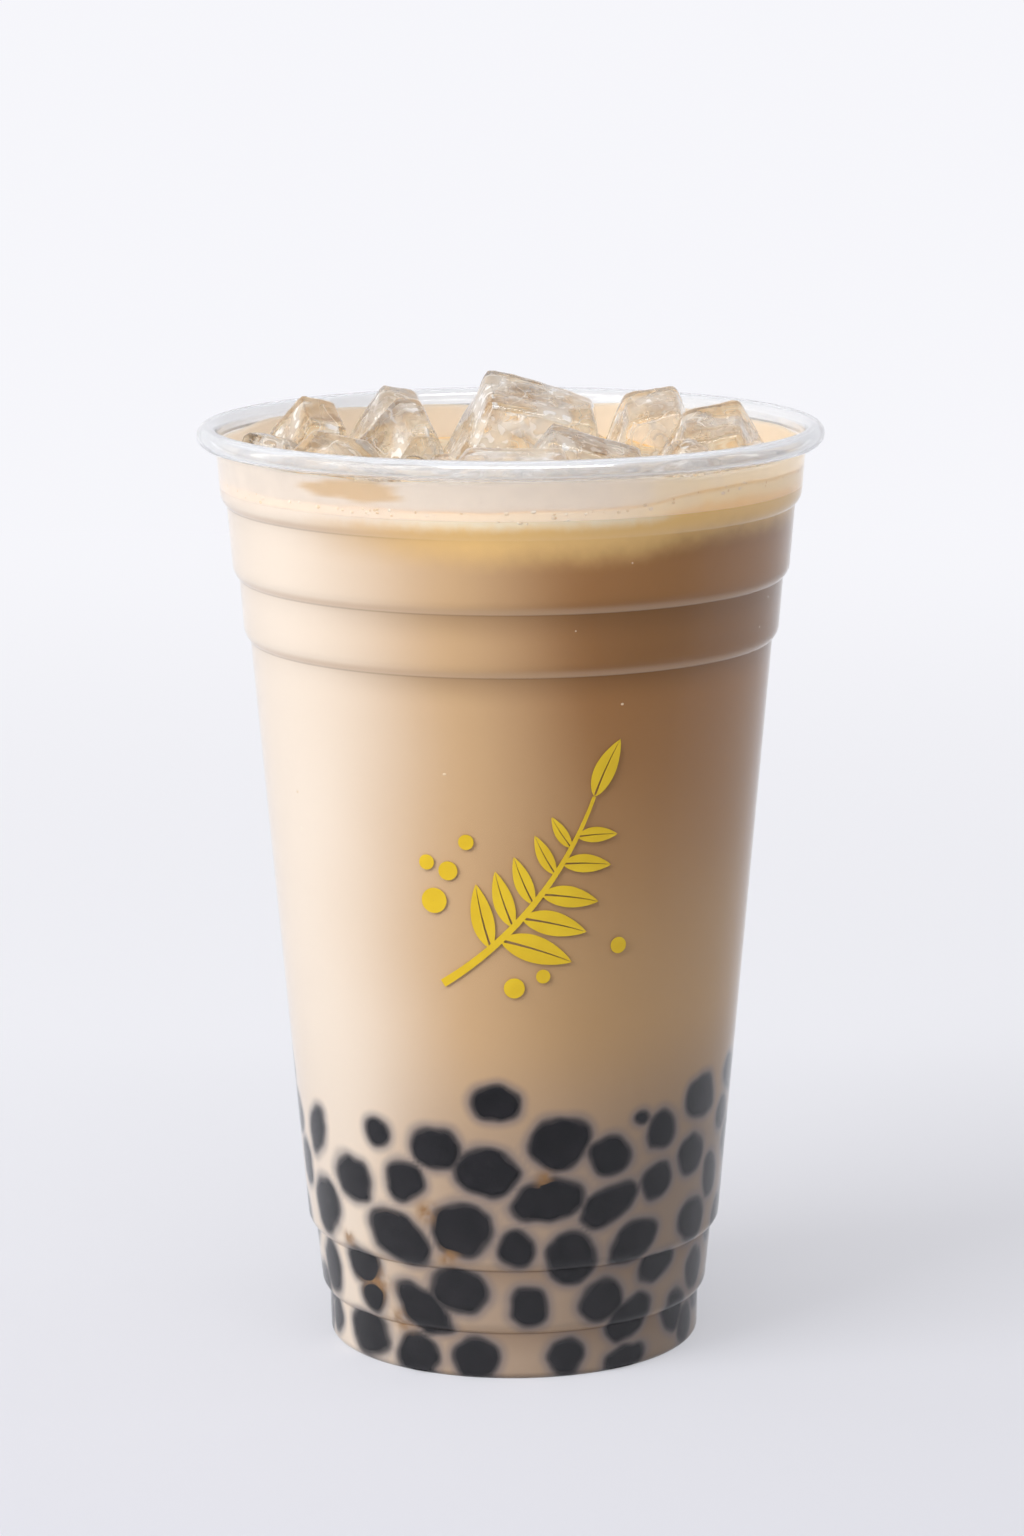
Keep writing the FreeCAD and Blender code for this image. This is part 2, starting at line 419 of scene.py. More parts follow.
@contextmanager
def edited(mesh: bpy.types.Mesh) -> Iterator[bmesh.types.BMesh]:
    """Open a mesh with its doubles merged, and write it back when the work is done.

    Args:
        mesh: The mesh.

    Yields:
        The form that bmesh works on.
    """
    form = bmesh.new()
    form.from_mesh(mesh)
    bmesh.ops.remove_doubles(form, verts=form.verts, dist=SEAM)
    yield form
    form.to_mesh(mesh)
    form.free()


def soften(mesh: bpy.types.Mesh) -> None:
    """Shade every face smooth."""
    mesh.polygons.foreach_set("use_smooth", [True] * len(mesh.polygons))


def mesh_of(name: str, points: np.ndarray, faces: Sequence[Sequence[int]] = ()) -> bpy.types.Mesh:
    """Make a mesh.

    Args:
        name: Its name.
        points: Its points, in millimetres.
        faces: The numbers of each face's points.

    Returns:
        The mesh.
    """
    mesh = bpy.data.meshes.new(name)
    mesh.from_pydata((np.asarray(points, float) * METRE).tolist(), [], [list(f) for f in faces])
    mesh.update()
    return mesh


def read(mesh: bpy.types.Mesh, what: str) -> np.ndarray:
    """Three numbers for each point of a mesh: what is co or normal."""
    found = np.empty(len(mesh.vertices) * 3)
    mesh.vertices.foreach_get(what, found)
    return found.reshape(-1, 3)


def points_of(mesh: bpy.types.Mesh) -> np.ndarray:
    """The points of a mesh, in millimetres."""
    return read(mesh, "co") / METRE


def move_points(mesh: bpy.types.Mesh, points: np.ndarray) -> None:
    """Give a mesh new points, in millimetres."""
    mesh.vertices.foreach_set("co", (points * METRE).ravel())
    mesh.update()


def hold(mesh: bpy.types.Mesh, name: str, values: np.ndarray) -> None:
    """Write a number, or a vector, for each point of a mesh.

    Args:
        mesh: The mesh.
        name: What the numbers are called.
        values: One row or one number for each point.
    """
    wide = values.ndim == 2
    layer = mesh.attributes.new(name, "FLOAT_VECTOR" if wide else "FLOAT", "POINT")
    layer.data.foreach_set("vector" if wide else "value", values.ravel().astype(np.float32))


def across_of(points: np.ndarray) -> np.ndarray:
    """How far round from the middle of the printed side each point is, from -180 to 180."""
    bearing = np.degrees(np.arctan2(points[:, 1], points[:, 0])) - FRONT
    return (bearing + 180.0) % 360.0 - 180.0


def radii_of(points: np.ndarray) -> np.ndarray:
    """How far each point is from the cup's axis."""
    return np.hypot(points[:, 0], points[:, 1])


def right_of(way: Sequence[float] | np.ndarray) -> np.ndarray:
    """The direction to the right of one in a plane."""
    return np.array((way[1], -way[0]))


def joined(pieces: Iterable[bpy.types.Object], inset: float = 0.0) -> tuple[list, list]:
    """Put the meshes of some pieces together.

    Args:
        pieces: The pieces.
        inset: How far every point moves inwards, in millimetres.

    Returns:
        The points, in millimetres, and the faces.
    """
    points, faces = [], []
    for piece in pieces:
        start, mesh = len(points), piece.data
        points += (points_of(mesh) - read(mesh, "normal") * inset).tolist()
        faces += [[start + v for v in face.vertices] for face in mesh.polygons]
    return points, faces


def hand_over(piece: bpy.types.Object, slot: Slot, *nodes: str) -> None:
    """Say what a finished piece rides on, what it is made of and what it stands for.

    Args:
        piece: The piece.
        slot: Its finish in the record.
        nodes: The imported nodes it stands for, if any.
    """
    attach(piece, BODY)
    if nodes:
        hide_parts(*nodes)
    piece.data.calc_loop_triangles()
    log.info("%s: %d triangles, %s", piece.name, len(piece.data.loop_triangles), slot.value)


class Corner(NamedTuple):
    """A corner of a profile, and the arc from it to the next corner if turn isn't 0."""

    radius: float
    height: float
    turn: float = 0.0
    side: int = 1  # 1 where the arc swells to the right of the way, -1 to its left


def traced(corners: Sequence[Corner], run: float = 1e9, bend: int = 7) -> list[Point2]:
    """The points along a profile.

    Args:
        corners: Its corners in order.
        run: The longest straight step between two points.
        bend: How many steps an arc has.

    Returns:
        The points, from the first corner to the last.
    """
    line = [(corners[0].radius, corners[0].height)]
    for here, there in zip(corners, corners[1:]):
        start, end = np.array(here[:2]), np.array(there[:2])
        chord = end - start
        length = float(np.hypot(*chord))
        if not here.turn:
            steps = max(1, math.ceil(length / run))
            line += [tuple(start + chord * k / steps) for k in range(1, steps + 1)]
            continue
        inward = math.sqrt(max(here.turn ** 2 - length ** 2 / 4, 0.0))
        middle = (start + end) / 2 - right_of(chord) / length * here.side * inward
        first, last = (math.atan2(*(p - middle)[::-1]) for p in (start, end))
        sweep = (last - first + math.pi) % (2 * math.pi) - math.pi
        for k in range(1, bend + 1):
            turned = first + sweep * k / bend
            line.append(tuple(middle + here.turn * np.array((math.cos(turned),
                                                             math.sin(turned)))))
    return line


class Lathe(Forming):
    """Turns a profile, given as a row of points in the XZ plane, round the Z axis."""

    def __init__(self, material: bpy.types.Material) -> None:
        """Build the tree: a grid whose columns go round and whose rows follow the profile.

        Args:
            material: The finish of what it turns.
        """
        super().__init__("lathe")
        round_count = self.named("Facets round", "Int", 96)
        rows = self.value("GeometryNodeAttributeDomainSize", "Point Count",
                          {"component": "MESH"}, {0: self.start})
        grid = self.value("GeometryNodeMeshGrid", "Mesh", inputs={
            "Size X": 1.0, "Size Y": 1.0, "Vertices X": round_count + 1, "Vertices Y": rows})
        along, up, _ = self.axes(self.value("GeometryNodeInputPosition", 0))
        angle = (along + 0.5) * (2 * math.pi)
        row = ((up + 0.5) * (rows - 1)).of("ROUND")
        here = self.value("GeometryNodeInputPosition", 0)
        sampled = self.value(
            "GeometryNodeSampleIndex", 0, {"data_type": "FLOAT_VECTOR", "domain": "POINT"},
            {"Geometry": self.start, "Value": here, "Index": row})
        radius, _, height = self.axes(sampled)
        place = self.vector(radius * angle.of("COSINE"), radius * angle.of("SINE"), height)
        turned = self.value("GeometryNodeSetPosition", 0,
                            inputs={"Geometry": grid, "Position": place})
        sealed = self.value("GeometryNodeMergeByDistance", 0,
                            inputs={"Geometry": turned, "Distance": SEAM})
        self.close(sealed, material)

    def turn(self, name: str, profile: Sequence[Point2], facets: int) -> bpy.types.Object:
        """Turn one profile.

        Args:
            name: The name of the piece.
            profile: The radius and height of its points.
            facets: How many facets it has round the axis.

        Returns:
            The piece.
        """
        points = np.array([(radius, 0.0, height) for radius, height in profile])
        return self.run(name, mesh_of(name, points), {"Facets round": facets})


# --- The cup ----------------------------------------------------------------------------


@dataclass(frozen=True)
class CupShape:
    """The stepped cup's sizes and the lines that follow from them."""

    rim_diameter: float = 98.0
    rim_roll: float = 3.2
    rim_roll_turn: float = 118.0
    rim_tip: float = 0.25
    wall: float = 0.45
    height: float = 146.7
    base_diameter: float = 58.9
    collar_height: float = 10.1
    collar_taper: float = 0.68
    upper_step_height: float = 2.3
    upper_step_in: float = 1.05
    second_band_height: float = 9.2
    second_band_taper: float = 0.78
    third_band_height: float = 7.5
    third_band_taper: float = 0.60
    base_band_height: float = 7.6
    base_band_taper: float = 0.15
    lower_step_height: float = 2.3
    lower_step_in: float = 1.25
    fifth_band_height: float = 8.3
    fifth_band_taper: float = 0.85
    foot_width: float = 1.1
    foot_round: float = 1.3
    foot_slope_width: float = 1.4
    bottom_lift: float = 1.6
    level_below_rim: float = 7.9

    @property
    def level(self) -> float:
        """The height of the drink's surface."""
        return self.height - self.level_below_rim

    @property
    def roll_middle(self) -> Point2:
        """The middle of the rolled rim's section."""
        return (self.rim_diameter - self.rim_roll) / 2, self.height - self.rim_roll / 2

    def wall_corners(self) -> list[Corner]:
        """List the corners of the wall's outer face.

        Returns:
            The corners, from the foot up to the roll.
        """
        rise, push = self.lower_step_height, self.lower_step_in
        low_turn = (push ** 2 + rise ** 2) / (2 * push)
        corners = [Corner(self.base_diameter / 2, self.foot_round)]
        radius, height = self.base_diameter / 2 + self.base_band_taper, self.base_band_height
        for band, taper in ((self.fifth_band_height, self.fifth_band_taper), (0.0, 0.0)):
            corners.append(Corner(radius, height, low_turn))
            corners.append(Corner(radius + push, height + rise))
            radius, height = radius + push + taper, height + rise + band
        rise, push = self.upper_step_height, self.upper_step_in
        high_turn = (push ** 2 + rise ** 2) / (2 * push)
        upper = []
        radius = self.roll_middle[0] - self.rim_roll / 2 + self.wall
        upper.append(Corner(radius, self.roll_middle[1]))
        radius, height = radius - self.collar_taper, self.height - self.collar_height
        for band, taper in ((self.second_band_height, self.second_band_taper),
                            (self.third_band_height, self.third_band_taper), (0.0, 0.0)):
            upper.append(Corner(radius, height))
            upper.append(Corner(radius - push, height - rise, high_turn))
            radius, height = radius - push - taper, height - rise - band
        return corners + upper[::-1]

    def foot_corners(self) -> list[Corner]:
        """List the corners of the underside.

        Returns:
            The corners, from the axis out to the wall.
        """
        ring = self.base_diameter / 2 - self.foot_round
        slope = ring - self.foot_width
        return [
            Corner(0.0, self.bottom_lift),
            Corner(slope - self.foot_slope_width, self.bottom_lift),
            Corner(slope, 0.0),
            Corner(ring, 0.0, self.foot_round),
        ]

    def roll_corners(self) -> list[Corner]:
        """List the corners of the rolled rim.

        Returns:
            The corners, from the wall's outer face over the roll's hollow and back outside.
        """
        across, up = self.roll_middle
        outer, hollow = self.rim_roll / 2, self.rim_roll / 2 - self.wall
        turn = math.radians(self.rim_roll_turn)
        tip = [(across + r * math.cos(turn), up - r * math.sin(turn)) for r in (hollow, outer)]
        return [
            Corner(across - hollow, up, hollow, -1),
            Corner(across, up + hollow, hollow, -1),
            Corner(across + hollow, up, hollow, -1),
            Corner(*tip[0], self.rim_tip),
            Corner(*tip[1], outer),
            Corner(across + outer, up, outer),
            Corner(across, up + outer, outer),
            Corner(across - outer, up),
        ]

    @cached_property
    def wall_line(self) -> np.ndarray:
        """The radius and height of fine steps up the wall's outer face."""
        return np.array(traced(self.foot_corners()[-1:] + self.wall_corners(), bend=24))

    def outer_radius(self, height: np.ndarray | float) -> np.ndarray:
        """The radius of the wall's outer face at a height."""
        return np.interp(height, self.wall_line[:, 1], self.wall_line[:, 0])

    def inner_radius(self, height: np.ndarray | float) -> np.ndarray:
        """The radius of the wall's inner face at a height, which follows it over the foot."""
        low = np.maximum(height, self.foot_round)
        return self.outer_radius(low) - self.wall

    def spot(self, across: float, height: float, out: float) -> Point3:
        """A place by the inner face.

        Args:
            across: How far round it is.
            height: Its height.
            out: How far out from the inner face it lies.

        Returns:
            The place, in millimetres.
        """
        bearing = math.radians(across + FRONT)
        radius = float(self.inner_radius(height)) + out
        return radius * math.cos(bearing), radius * math.sin(bearing), height

    def kept_in(self, points: np.ndarray, reach: float) -> None:
        """Pull back, in place, the points that lie further out than the wall.

        Args:
            points: The points.
            reach: How far they may pass the inner face.
        """
        limit = self.inner_radius(points[:, 2]) + reach
        points[:, :2] *= np.minimum(1.0, limit / np.maximum(radii_of(points), 0.01))[:, None]

    def inside_line(self, top: float, reach: float, run: float) -> list[Point2]:
        """The inner face from the axis up to a height.

        Args:
            top: The height it ends at.
            reach: How far the line lies inside the wall.
            run: The longest step along it.

        Returns:
            The points, from the middle of the bottom up.
        """
        foot = self.foot_corners()
        shift = self.wall - reach
        floor = [Corner(c.radius, c.height + shift) for c in foot[:3]]
        ring = Corner(foot[3].radius, shift, self.foot_round - shift)
        wall = [c._replace(radius=c.radius - shift) for c in self.wall_corners()]
        line = traced(floor + [ring] + wall, run)
        cut = next(k for k, (_, height) in enumerate(line) if height > top - 1e-6)
        radius = float(np.interp(top, [line[cut - 1][1], line[cut][1]],
                                 [line[cut - 1][0], line[cut][0]]))
        return line[:cut] + [(radius, top)]

    def shell_line(self) -> list[Point2]:
        """Trace the closed section of the whole shell.

        Returns:
            The points, counterclockwise from the axis.
        """
        run = 4.0
        outside = traced(self.foot_corners() + self.wall_corners()[:-1] + self.roll_corners(), run)
        inside = self.inside_line(self.roll_middle[1], 0.0, run)[::-1]
        return outside + inside[1:] + outside[:1]


@dataclass(frozen=True)
class ClearPlastic:
    """Clear cold-cup plastic, faintly blue where it is thick."""

    index: float = 1.5
    roughness: float = 0.03
    rim_haze: float = 0.16  # how milky the plastic of the roll looks
    roll: Point2 = (143.6, 144.3)  # the heights between which its finish sets in

    def material(self) -> bpy.types.Material:
        """Make the material.

        Returns:
            The material.
        """
        shades = Shades("clear_plastic")
        _, _, z = shades.axes(shades.spot())
        roll = z.step(*self.roll)
        plastic = shades.principled(
            Base_Color=(0.992, 0.996, 1.0, 1.0), Roughness=self.roughness + roll * 0.04,
            IOR=self.index, Transmission_Weight=1.0, Specular_IOR_Level=0.35)
        clear = shades.lets_lamps_through(plastic, (0.97, 0.975, 0.98, 1.0))
        haze = shades.principled(Base_Color=(0.95, 0.97, 1.0, 1.0), Roughness=0.25)
        return shades.close(shades.mixed(roll * self.rim_haze, clear, haze))


@dataclass
class CupShell:
    """The clear cup itself."""

    shape: CupShape
    facets: int = 256

    def build(self) -> bpy.types.Object:
        """Turn the shell's section and dress it.

        Returns:
            The piece.
        """
        lathe = Lathe(ClearPlastic().material())
        cup = lathe.turn("clear_cup", self.shape.shell_line(), self.facets)
        hand_over(cup, Slot.PLASTIC, "cup")
        return cup


# --- Tapioca pearls ---------------------------------------------------------------------


class Pearl(NamedTuple):
    """Where a pearl shows at the wall, and how much of it."""

    across: float
    height: float
    wide: float
    tall: float
    lean: float = 0.0  # degrees clockwise as it is seen


FRONT_PEARLS = (
    Pearl(-76, 30, 4.5, 6.5), Pearl(-64, 37, 4, 7.5, -25), Pearl(-62, 25, 6.5, 8, -15),
    Pearl(-67, 14.5, 5, 7.5), Pearl(-72, 5, 4, 5), Pearl(-51, 5, 7.5, 7, -10),
    Pearl(-49, 17, 6.5, 6, -30), Pearl(-46, 11.5, 4.5, 3.5), Pearl(-48, 31, 7, 6, -40),
    Pearl(-38, 39.5, 3.5, 3.5), Pearl(-33, 23, 10, 6.5, -25), Pearl(-30, 32.5, 5.5, 6, -20),
    Pearl(-31, 3, 6.5, 6), Pearl(-28, 11.5, 9, 5.5, -40), Pearl(-21, 38.5, 7, 6, -20),
    Pearl(-16, 15, 8, 6.5, -15), Pearl(-14, 25.5, 8, 8), Pearl(-12, 3.5, 6, 5.5),
    Pearl(-7, 35, 8, 7, -10), Pearl(-5, 46, 6, 5, -15), Pearl(1, 22.5, 5, 5),
    Pearl(4, 12.5, 5, 6, 10), Pearl(9, 30, 9.5, 6, 10), Pearl(12, 39.5, 8, 7.5, 15),
    Pearl(16, 21, 6.5, 7.5, 20), Pearl(16, 3.5, 4.5, 5.5), Pearl(26, 12.5, 6, 6.5, 35),
    Pearl(26, 28.5, 8.5, 5, 30), Pearl(26, 36.5, 6, 5.5), Pearl(37, 9, 7, 5, 45),
    Pearl(37, 2, 7, 3.5, 10), Pearl(35, 22, 8, 5, 25), Pearl(45, 17, 6.5, 4.5, 20),
    Pearl(42, 31, 5, 5, 15), Pearl(42, 39.5, 5, 5.5, 10), Pearl(35, 42, 2, 1.5),
    Pearl(58, 43, 7, 6, 10), Pearl(55, 34, 5.5, 5.5, 20), Pearl(58, 23, 6, 6.5, 15),
    Pearl(57, 8, 5, 7, 20), Pearl(66, 13.5, 5, 6), Pearl(67, 4, 4, 5.5), Pearl(67, 29, 4, 6.5, 10),
    Pearl(73, 38, 4, 4),
)


@dataclass(frozen=True)
class TapiocaSkin:
    """Dark, slightly uneven tapioca."""

    roughness: float = 0.32

    def material(self) -> bpy.types.Material:
        """Make the material.

        Returns:
            The material.
        """
        shades = Shades("tapioca")
        spot = shades.spot()
        patch = shades.grain(spot, 3.0, 3.0)
        speck = shades.grain(spot, 0.5, 1.0).step(0.70, 0.78)
        dark = shades.blend(patch.step(0.3, 0.75),
                            (0.006, 0.006, 0.008, 1), (0.013, 0.012, 0.015, 1))
        colour = shades.blend(speck * 0.2, dark, (0.12, 0.11, 0.11, 1))
        skin = shades.principled(
            Base_Color=colour, Roughness=self.roughness, Specular_IOR_Level=0.04,
            Normal=shades.bump(shades.grain(spot, 1.2, 2.0), 0.12, 0.5))
        return shades.close(skin)


class Ball(NamedTuple):
    """Where a squashed ball sits, how it is turned and its half sizes."""

    spot: Point3
    turn: Point3  # radians
    half: Point3


class PearlForming(Forming):
    """Sets a ball on each point, sized and turned as the point says, and makes it lumpy."""

    def __init__(self, material: bpy.types.Material) -> None:
        """Build the tree.

        Args:
            material: The finish of the balls.
        """
        super().__init__("pearls")
        segments = self.named("Segments", "Int", 32)
        rings = self.named("Rings", "Int", 16)
        lumps = self.named("Lumpiness", "Float", 0.5 * METRE)
        lump_size = self.named("Lump size", "Float", 4.0 * METRE)
        ball = self.value("GeometryNodeMeshUVSphere", "Mesh",
                          inputs={"Segments": segments, "Rings": rings, "Radius": 1.0})
        laid = self.value("GeometryNodeInstanceOnPoints", 0, inputs={
            "Points": self.start, "Instance": ball, "Rotation": self.held("turn"),
            "Scale": self.held("half")})
        real = self.value("GeometryNodeRealizeInstances", 0, inputs={0: laid})
        cloud = self.value("ShaderNodeTexNoise", "Color", inputs={
            "Vector": self.value("GeometryNodeInputPosition", 0),
            "Scale": 1.0 / lump_size, "Detail": 1.0})
        swing = self.vector_maths("SUBTRACT", {0: cloud, 1: (0.5, 0.5, 0.5)})
        moved = self.vector_maths("SCALE", {0: swing, "Scale": lumps})
        lumpy = self.value("GeometryNodeSetPosition", 0,
                           inputs={"Geometry": real, "Offset": moved})
        self.close(lumpy, material)

    def lay(self, name: str, balls: Sequence[Ball], segments: int, rings: int,
            lumpiness: float = 0.0) -> bpy.types.Object:
        """Set every ball in its place.

        Args:
            name: The name of the piece.
            balls: The balls.
            segments: How many facets each has round its axis.
            rings: How many it has from pole to pole.
            lumpiness: How far its skin swings in and out.

        Returns:
            The piece.
        """
        start = mesh_of(name, np.array([ball.spot for ball in balls]))
        hold(start, "turn", np.array([ball.turn for ball in balls]))
        hold(start, "half", np.array([ball.half for ball in balls]) * METRE)
        return self.run(name, start, {
            "Segments": segments, "Rings": rings, "Lumpiness": lumpiness * METRE})


@dataclass
class TapiocaPearls:
    """The pearls that press against the wall, those in front chosen and the rest strewn."""

    shape: CupShape
    reach: float = 0.20  # how far a pressed pearl reaches into the wall
    shown_share: float = 0.80  # how much of a pearl's width its flat patch takes
    half_depth: float = 3.6
    top: float = 45.0
    lowest: float = 2.5
    lumpiness: float = 2.0
    raised: float = 27.0  # the radius of the part of the bottom that is lifted
    sink: float = 0.1  # how far a pearl reaches into the bottom
    tries: int = 2600
    room: float = 0.9
    round_the_back: Point2 = (76, 284)  # where pearls are strewn, in degrees
    widths: Point2 = (4.2, 8.4)
    heights: Point2 = (4.4, 7.2)
    leans: Point2 = (-40, 40)
    seed: int = 11

    def strewn(self) -> list[Pearl]:
        """Add pearls round the rest of the wall, none closer than its size allows.

        Returns:
            The pearls in front and those added.
        """
        dice = random.Random(self.seed)
        laid = list(FRONT_PEARLS)
        for _ in range(self.tries):
            height = self.lowest + (self.top - self.lowest) * dice.random() ** 1.15
            pearl = Pearl(dice.uniform(*self.round_the_back), height,
                          dice.uniform(*self.widths), dice.uniform(*self.heights),
                          dice.uniform(*self.leans))
            if all(self._apart(pearl, other) for other in laid):
                laid.append(pearl)
        return laid

    def _apart(self, one: Pearl, other: Pearl) -> bool:
        """See whether two pearls leave milk between them.

        Args:
            one: A pearl.
            other: Another pearl.

        Returns:
            True if they do.
        """
        turn = (one.across - other.across + 180) % 360 - 180
        radius = float(self.shape.inner_radius(one.height))
        gap = math.hypot(math.radians(turn) * radius, one.height - other.height)
        return gap > (one.wide + one.tall + other.wide + other.tall) / 4 + self.room

    def build(self) -> bpy.types.Object:
        """Lay, turn and press the pearls.

        Returns:
            The piece.
        """
        balls = []
        inward = self.half_depth * math.sqrt(1 - self.shown_share ** 2)
        for pearl in self.strewn():
            # The ball's pole looks at the wall, and its own X lies along the wall.
            bearing = math.radians(pearl.across + FRONT)
            out = Vector((math.cos(bearing), math.sin(bearing), 0.0))
            flat = Vector((-math.sin(bearing), math.cos(bearing), 0.0))
            basis = Matrix((flat, out.cross(flat), out)).transposed()
            lean = Matrix.Rotation(math.radians(pearl.lean), 3, "Z")
            balls.append(Ball(
                self.shape.spot(pearl.across, pearl.height, self.reach - inward),
                tuple((basis @ lean).to_euler()),
                (pearl.wide / 2 / self.shown_share, pearl.tall / 2 / self.shown_share,
                 self.half_depth)))
        forming = PearlForming(TapiocaSkin().material())
        piece = forming.lay("tapioca_pearls", balls, 32, 18, self.lumpiness)
        self._press(piece.data)
        hand_over(piece, Slot.TAPIOCA)
        return piece

    def _press(self, mesh: bpy.types.Mesh) -> None:
        """Flatten what would pass the wall or the floor of the cup.

        Args:
            mesh: The pearls' mesh.
        """
        points = points_of(mesh)
        low = self.shape.wall - self.sink
        floor = np.where(radii_of(points) < self.raised, self.shape.bottom_lift + low, low)
        points[:, 2] = np.maximum(points[:, 2], floor)
        self.shape.kept_in(points, self.reach)
        move_points(mesh, points)


# --- The drink --------------------------------------------------------------------------


@dataclass(frozen=True)
class MilkTones:
    """The drink's colours, from its pale side, which is partly painted light, to its brown one,
    which is partly painted shade.
    """

    # Some of these colours are painted light and shade: the pale of the left side, the browns of
    # the right side, the amber glow under the surface, the line on each step's face, and the dark
    # brown and grey of the shaded parts.
    tan: Colour = (0.66, 0.43, 0.235, 1.0)
    lit_side_cream: Colour = (0.87, 0.745, 0.62, 1.0)
    coffee: Colour = (0.38, 0.185, 0.072, 1.0)
    latte: Colour = (0.55, 0.34, 0.165, 1.0)
    glow_golden: Colour = (0.93, 0.60, 0.24, 1.0)
    foam: Colour = (0.96, 0.83, 0.62, 1.0)
    pool: Colour = (0.92, 0.78, 0.58, 1.0)
    pool_dark: Colour = (0.80, 0.58, 0.34, 1.0)
    # the line on each step's face is painted light and shade
    line: Colour = (0.55, 0.37, 0.23, 1.0)
    painted_shade_brown: Colour = (0.16, 0.08, 0.035, 1.0)
    grey: Colour = (0.42, 0.31, 0.23, 1.0)
    shaded_grey: Colour = (0.27, 0.205, 0.16, 1.0)
    shade: Colour = (0.17, 0.155, 0.17, 1.0)
    rust: Colour = (0.30, 0.16, 0.065, 1.0)
    steps: tuple[float, ...] = (134.3, 122.8, 113.0, 18.2, 7.6)  # feet of the wall's steps
    halo: Point2 = (2.1, 0.4)  # how far from a pearl the milk greys
    hug: Point2 = (0.95, 0.08)  # how far from a pearl it is as dark as the pearl

    def material(self) -> bpy.types.Material:
        """Make the material: bands by depth, a pale and a brown side, painted light and shade, and
        dark halos.

        Returns:
            The material.
        """
        shades = Shades("milk_drink")
        spot = shades.spot()
        x, y, z = shades.axes(spot)
        radius = (x * x + y * y).of("SQRT").most(1.0)
        drift = shades.grain(spot, 38.0, 1.0) - 0.5
        side = x / radius + drift * 0.25
        depth = shades.measured("depth")
        # Pale on the left and brown on the right: partly a real swirl of milk and coffee, partly
        # painted light on the left and painted shade on the right. Greyer lower down among the
        # pearls, with a darker grey on the right, which is painted shade.
        pale = side.step(-0.15, -0.85)
        dark = shades.blend((z + drift * 30.0).step(52.0, 116.0), self.latte, self.coffee)
        body = shades.blend(side.step(-0.25, 0.35), self.tan, dark)
        body = shades.blend(pale, body, self.lit_side_cream)
        greyed = shades.blend(side.step(0.1, 0.75), self.grey, self.shaded_grey)
        body = shades.blend(z.step(60.0, 32.0) * (1 - pale * 0.85) * 0.85, body, greyed)
        # Painted shade under the second step on the brown side, and at every step a painted shadow
        # below it, a painted line of light and shade on its face and a painted dark seam at its
        # foot.
        swirl = side.step(0.0, 0.5) * z.between(110.0, 117.0, 121.0, 126.0)
        body = shades.blend(swirl * 0.3, body, self.painted_shade_brown)
        for height in self.steps:
            shadow = z.between(height - 5.0, height, height, height + 0.2)
            body = shades.blend(shadow * (0.30 - pale * 0.28), body, self.painted_shade_brown)
            edge = z.between(height - 0.1, height + 0.2, height + 0.6, height + 1.5)
            body = shades.blend(edge * 0.5, body, self.line)
            seam = z.between(height - 0.25, height, height + 0.05, height + 0.3)
            body = shades.blend(seam * (0.6 if height < 50 else 0.3), body, self.painted_shade_brown)
        # An amber band below the surface, which is painted glow of light through the milk, the
        # foam over it, paler on the left where that is painted light, and the surface itself.
        fine = shades.grain(spot, 2.4, 2.0)
        under = (depth + (fine - 0.5) * 1.2).step(10.0, 4.0) * side.step(-0.75, -0.05)
        body = shades.blend(under, body, self.glow_golden)
        froth = (depth + (fine - 0.5) * 1.6).step(3.6, 1.2)
        foam = shades.blend(side.step(-0.1, -0.55), self.foam, self.lit_side_cream)
        body = shades.blend(froth, body, foam)
        lake = shades.blend(fine.step(0.35, 0.7), self.pool, self.pool_dark)
        body = shades.blend(shades.measured("top"), body, lake)
        # The dark halos of the pearls and the stains of sugar.
        gap = shades.measured("pearl_gap")
        body = shades.blend(gap.step(*self.halo) * 0.66, body, self.shade)
        body = shades.blend(gap.step(*self.hug) * 0.92, body, (0.02, 0.02, 0.024, 1))
        body = shades.blend(shades.measured("rust") * fine.step(0.25, 0.6), body, self.rust)
        milk = shades.principled(Base_Color=body, Roughness=0.5, Specular_IOR_Level=0.0)
        return shades.close(milk)


